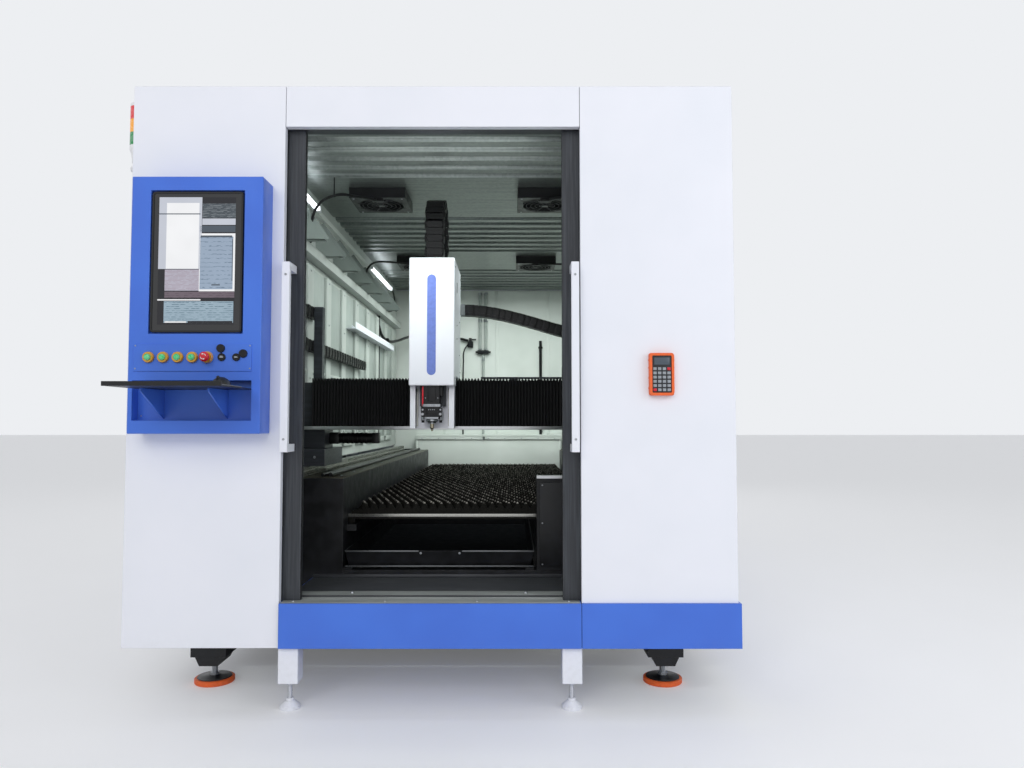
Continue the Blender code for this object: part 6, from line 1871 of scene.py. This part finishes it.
def buildSill():
    low, high = boxOf("front_sill")
    work = bmesh.new()
    for span in ((-0.004, 0.041), (0.079, 0.205)):  # the doors run in the gap between the two strips
        addBlock(work, (low.x + 0.004, high.x - 0.004), span, (high.z, high.z + 0.0024), 0.001)
    addBlock(work, (low.x + 0.004, high.x - 0.004), (0.041, 0.079), (high.z - 0.0002, high.z + 0.0003))
    finishPiece("sillPlate", work, sillSteel)
    work = bmesh.new()
    addBlock(
        work, (low.x + 0.004, high.x - 0.004), (0.207, high.y - 0.004), (high.z, high.z + 0.0020), 0.001
    )
    addBlock(
        work,
        (low.x + 0.006, high.x - 0.006),
        (high.y - 0.016, high.y - 0.004),
        (high.z + 0.002, high.z + 0.016),
        0.002,
    )
    addBlock(work, (low.x + 0.012, high.x - 0.012), (0.096, 0.102), (high.z + 0.002, high.z + 0.009), 0.001)
    finishPiece("sillLip", work, darkEnamel("sillLipEnamel", "black_paint", "3A3C40", "55575B", 0.4, "X"))
    work = bmesh.new()
    for x in (-0.341, 0.374):
        addScrew(work, (x, 0.174, high.z + 0.0024), (0, 0, 1), 0.009)
    for x in (-0.54, -0.18, 0.18, 0.54):
        addScrew(work, (x, 0.020, high.z + 0.0024), (0, 0, 1), 0.006)
    finishPiece("sillScrews", work, zincSteel)
    seams = bmesh.new()
    for x in (-0.589, 0.589):  # rubber in the joints beside the header and the sill
        addBlock(seams, (x - 0.0011, x + 0.0011), (0.006, 0.028), (2.306, 2.469))
        addBlock(seams, (x - 0.0011, x + 0.0011), (-0.004, 0.026), (0.247, 0.416))
    finishPiece("jointSeals", seams, darkRubber)


def buildDoors():
    for side, sign in (("left", -1), ("right", 1)):
        low, high = boxOf("door_leaf_" + side)
        body = "door_" + side
        inner = high.x if sign < 0 else low.x
        work = bmesh.new()
        addBlock(
            work,
            (inner - 0.0007, inner + 0.0007),
            (low.y + 0.006, high.y - 0.006),
            (low.z + 0.004, high.z - 0.004),
            0.001,
        )
        gasket = 0.0035
        windowLow, windowHigh = boxOf("door_window_" + side)
        for face in (low.y - 0.0004, high.y + 0.0004):
            for x in (windowLow.x, windowHigh.x):
                addBlock(
                    work,
                    (x - gasket, x + gasket),
                    (face - 0.002, face + 0.002),
                    (windowLow.z, windowHigh.z),
                    0.001,
                )
            for z in (windowLow.z, windowHigh.z):
                addBlock(
                    work,
                    (windowLow.x, windowHigh.x),
                    (face - 0.002, face + 0.002),
                    (z - gasket, z + gasket),
                    0.001,
                )
        finishPiece("doorSeals" + side.capitalize(), work, darkRubber, body)
        work = bmesh.new()
        handleLow, handleHigh = boxOf("door_handle_" + side)
        for z in (handleLow.z + 0.05, handleHigh.z - 0.05):
            addScrew(work, ((handleLow.x + handleHigh.x) / 2, handleLow.y, z), (0, -1, 0), 0.0050)
        finishPiece("doorScrews" + side.capitalize(), work, zincSteel, body)


def buildFeet():
    rims, discs, studs = bmesh.new(), bmesh.new(), bmesh.new()
    radius = bedValues["footRimRadius"]
    for name in ("front_left", "front_right", "rear_left", "rear_right"):
        low, high = boxOf("bed_foot_" + name)
        spot = Vector(((low.x + high.x) / 2, (low.y + high.y) / 2, 0))
        profile = [
            (0, 0), (radius - 0.003, 0), (radius, 0.003), (radius, 0.019), (radius - 0.004, 0.022),
            (radius - 0.012, 0.0222),
        ]
        addSpun(rims, profile + [(0, 0.0222)], spot, steps=48)
        addSpun(
            discs,
            [
                (0, 0.031), (0.020, 0.031), (0.034, 0.0275), (radius - 0.012, 0.0255),
                (radius - 0.011, 0.0222), (0, 0.0222),
            ],
            spot,
            steps=40,
        )
        addSpun(studs, [(0, 0.0866), (0.0122, 0.0866), (0.0122, 0.0308), (0, 0.0308)], spot, steps=20)
        for number in range(13):
            addRing(
                studs, spot + Vector((0, 0, 0.037 + number * 0.0036)), 0.0124, 0.0014, steps=16, sides=4
            )
        for z0, z1, wide in ((0.0310, 0.0420, 0.0205), (0.0735, 0.0862, 0.0225)):
            addSpun(studs, [(0, z0), (wide, z0), (wide, z1), (0, z1)], spot, steps=6)
    finishPiece("footRims", rims, orangeRubber, replaces=[n for n in cadNodes if n.startswith("bed_foot_")])
    finishPiece("footDiscs", discs, satinBlack)
    finishPiece("footStuds", studs, zincSteel)
    pads, threads = bmesh.new(), bmesh.new()
    for name in ("front_left", "front_right", "rear_left", "rear_right"):
        low, high = boxOf("leg_" + name)
        spot = Vector(((low.x + high.x) / 2, (low.y + high.y) / 2, 0))
        for number in range(16):
            addRing(
                threads, spot + Vector((0, 0, 0.032 + number * 0.0042)), 0.0082, 0.0018, steps=14, sides=4
            )
        addSpun(threads, [(0, 0.094), (0.0165, 0.094), (0.0165, 0.104), (0, 0.104)], spot, steps=6)
        addSpun(threads, [(0, 0.022), (0.0165, 0.022), (0.0150, 0.032), (0, 0.032)], spot, steps=6)
        addRing(pads, spot + Vector((0, 0, 0.0105)), 0.0365, 0.0050, steps=40, sides=8)
    finishPiece("legThreads", threads, zincSteel)
    finishPiece("legPadLips", pads, groundSteel)


def buildJunctionBox():
    low, high = boxOf("junction_box")
    work = bmesh.new()
    addBlock(
        work,
        (low.x + 0.001, high.x),
        (low.y - 0.0012, low.y + 0.014),
        (high.z - 0.0035, high.z + 0.0020),
        0.0006,
    )
    addBlock(
        work, (low.x, high.x), (low.y - 0.0010, low.y + 0.0006), (high.z - 0.0115, high.z - 0.001), 0.0004
    )
    finishPiece("junctionBoxEdge", work, brushedAluminium)
    work = bmesh.new()
    addBlock(
        work,
        (low.x + 0.014, high.x - 0.014),
        (low.y - 0.0025, low.y),
        (low.z + 0.016, high.z - 0.030),
        0.002,
    )
    finishPiece("junctionBoxLid", work, blackEnamel)
    work = bmesh.new()
    for x in (low.x + 0.026, high.x - 0.026):
        for z in (low.z + 0.028, (low.z + high.z) / 2, high.z - 0.042):
            addScrew(work, (x, low.y - 0.0025, z), (0, -1, 0), 0.004)
    addRod(
        work,
        (high.x - 0.075, low.y - 0.012, low.z + 0.21),
        (high.x - 0.075, low.y - 0.002, low.z + 0.21),
        0.009,
        18,
    )
    finishPiece("junctionBoxScrews", work, zincSteel)


def buildSideDetails():
    # Joints between the sheets of the sides and back, with their screws and the service doors' latches.
    seams, screws, latches = bmesh.new(), bmesh.new(), bmesh.new()
    left, right, rear = boxOf("side_wall_left")[0].x, boxOf("side_wall_right")[1].x, boxOf("rear_wall")[1].y
    for y in bedValues["sideJointY"]:
        for x in (left + 0.0004, right - 0.0004):
            low = 0.262 if x < 0 else 0.430
            addBlock(seams, (x - 0.0008, x + 0.0008), (y - 0.0016, y + 0.0016), (low, 2.436))
            for number in range(6):
                z = low + 0.10 + number * 0.37
                for side in (-0.028, 0.028):
                    addScrew(screws, (x, y + side, z), (1 if x > 0 else -1, 0, 0), 0.005)
    for x in bedValues["rearJointX"]:
        addBlock(seams, (x - 0.0016, x + 0.0016), (rear - 0.0012, rear + 0.0002), (0.262, 2.43))
        for number in range(6):
            for side in (-0.028, 0.028):
                addScrew(screws, (x + side, rear - 0.0026, 0.36 + number * 0.38), (0, 1, 0), 0.005)
    for y in bedValues["latchY"]:  # quarter-turn latches of the left service doors
        for z in bedValues["latchZ"]:
            addRod(latches, (left - 0.004, y, z), (left + 0.001, y, z), 0.014, 20)
            addBlock(
                latches, (left - 0.0052, left - 0.003), (y - 0.0018, y + 0.0018), (z - 0.008, z + 0.008)
            )
    finishPiece("panelJoints", seams, darkRubber)
    finishPiece("panelScrews", screws, zincSteel)
    finishPiece("serviceLatches", latches, blackAbs)


buildBedTrim()
buildDrawer()
buildSill()
buildDoors()
buildFeet()
buildJunctionBox()
buildSideDetails()
print("bed, doors and trim made")

# camera, floor and light

viewValues = {
    "eye": (0.349, -5.05, 1.123),
    "tiltDegrees": 2.8,
    "lensMm": 27.07,
    "backdrop": "EDEFF2",
    "floor": "EBEBEC",
    "worldStrength": 0.62,
    "keyWatts": 80.0,
    "fillWatts": 55.0,
    "cabinWatts": 52.0,
}


def setView():
    camera = bpy.data.cameras.new("photoCamera")
    camera.lens = viewValues["lensMm"]
    camera.sensor_width = 36
    holder = bpy.data.objects.new("photoCamera", camera)
    holder.location = viewValues["eye"]
    holder.rotation_euler = (radians(90 + viewValues["tiltDegrees"]), 0, 0)
    bpy.context.scene.collection.objects.link(holder)
    bpy.context.scene.camera = holder
    bpy.context.scene.view_settings.view_transform = "Standard"


def addAreaLight(name, spot, aim, size, watts, colour="FFFFFF", sizeY=None):
    light = bpy.data.lights.new(name, "AREA")
    light.energy = watts
    light.color = linear(colour)[:3]
    light.size = size
    if sizeY:
        light.shape = "RECTANGLE"
        light.size_y = sizeY
    holder = bpy.data.objects.new(name, light)
    holder.location = spot
    holder.rotation_euler = (Vector(aim) - Vector(spot)).to_track_quat("-Z", "Y").to_euler()
    bpy.context.scene.collection.objects.link(holder)
    holder.visible_camera = False
    holder.visible_glossy = size > 2


def setWorld():
    world = bpy.data.worlds.new("paleStudio")
    world.use_nodes = True
    bpy.context.scene.world = world
    tree = world.node_tree
    shader = tree.nodes["Background"]
    rays = addNode(tree, "LightPath").outputs
    seen = addNode(
        tree,
        "Math",
        [
            rays["Is Camera Ray"],
            addNode(
                tree, "Math", [rays["Is Glossy Ray"], rays["Is Transmission Ray"]], {"operation": "MAXIMUM"}
            ),
        ],
        {"operation": "MAXIMUM"},
    ).outputs[0]
    shader.inputs["Color"].default_value = linear(viewValues["backdrop"])
    addNode(
        tree, "MapRange", [seen, 0.0, 1.0, viewValues["worldStrength"], 1.0], to=shader.inputs["Strength"]
    )


def setFloor():
    work = bmesh.new()
    bmesh.ops.create_grid(work, x_segments=1, y_segments=1, size=60)
    mesh = bpy.data.meshes.new("studioFloor")
    bmesh.ops.translate(work, verts=work.verts, vec=(0, 0, -0.0005))
    work.to_mesh(mesh)
    work.free()
    material, tree, shader, place = startFinish("paleStudioFloor", "white_paint", 0.6)
    cloud = cloudPattern(tree, place, 400)
    tree.links.new(
        addNode(
            tree, "Mix", {0: cloud, 6: linear(viewValues["floor"]), 7: linear("F1F1F2")}, mixColours
        ).outputs[2],
        shader.inputs["Base Color"],
    )
    seen = addNode(tree, "LightPath").outputs["Is Camera Ray"]
    shader.inputs["Emission Color"].default_value = linear(viewValues["backdrop"])
    addNode(tree, "MapRange", [seen, 0.0, 1.0, 0.0, 0.16], to=shader.inputs["Emission Strength"])
    mesh.materials.append(material)
    floor = bpy.data.objects.new("studioFloor", mesh)
    bpy.context.scene.collection.objects.link(floor)


setView()
setWorld()
setFloor()
addAreaLight("softKey", (-1.5, -12.0, 6.0), (0, 0, 1.2), 8.0, viewValues["keyWatts"] * 5.2, "FFFDFA", 5.0)
bpy.data.objects["softKey"].visible_glossy = False  # or its square shape shows in the screen
addAreaLight("softFill", (4.5, -4.5, 2.6), (0.3, 0, 1.2), 4.0, viewValues["fillWatts"], "F4F8FF", 3.0)
addAreaLight("rearFill", (0.0, 7.5, 4.0), (0, 1.5, 1.2), 5.0, viewValues["fillWatts"])
addAreaLight(
    "cabinCeilingGlow", (0.25, 0.55, 2.27), (0.25, 0.6, 0.5), 1.2, viewValues["cabinWatts"], "F4FCF8", 2.6
)
addAreaLight(
    "cabinFrontGlow",
    (0.0, -1.75, 2.20),
    (0.0, 0.3, 1.3),
    0.9,
    viewValues["cabinWatts"] * 0.15,
    "F4FCF8",
    0.3,
)
print("camera, floor and lights set")
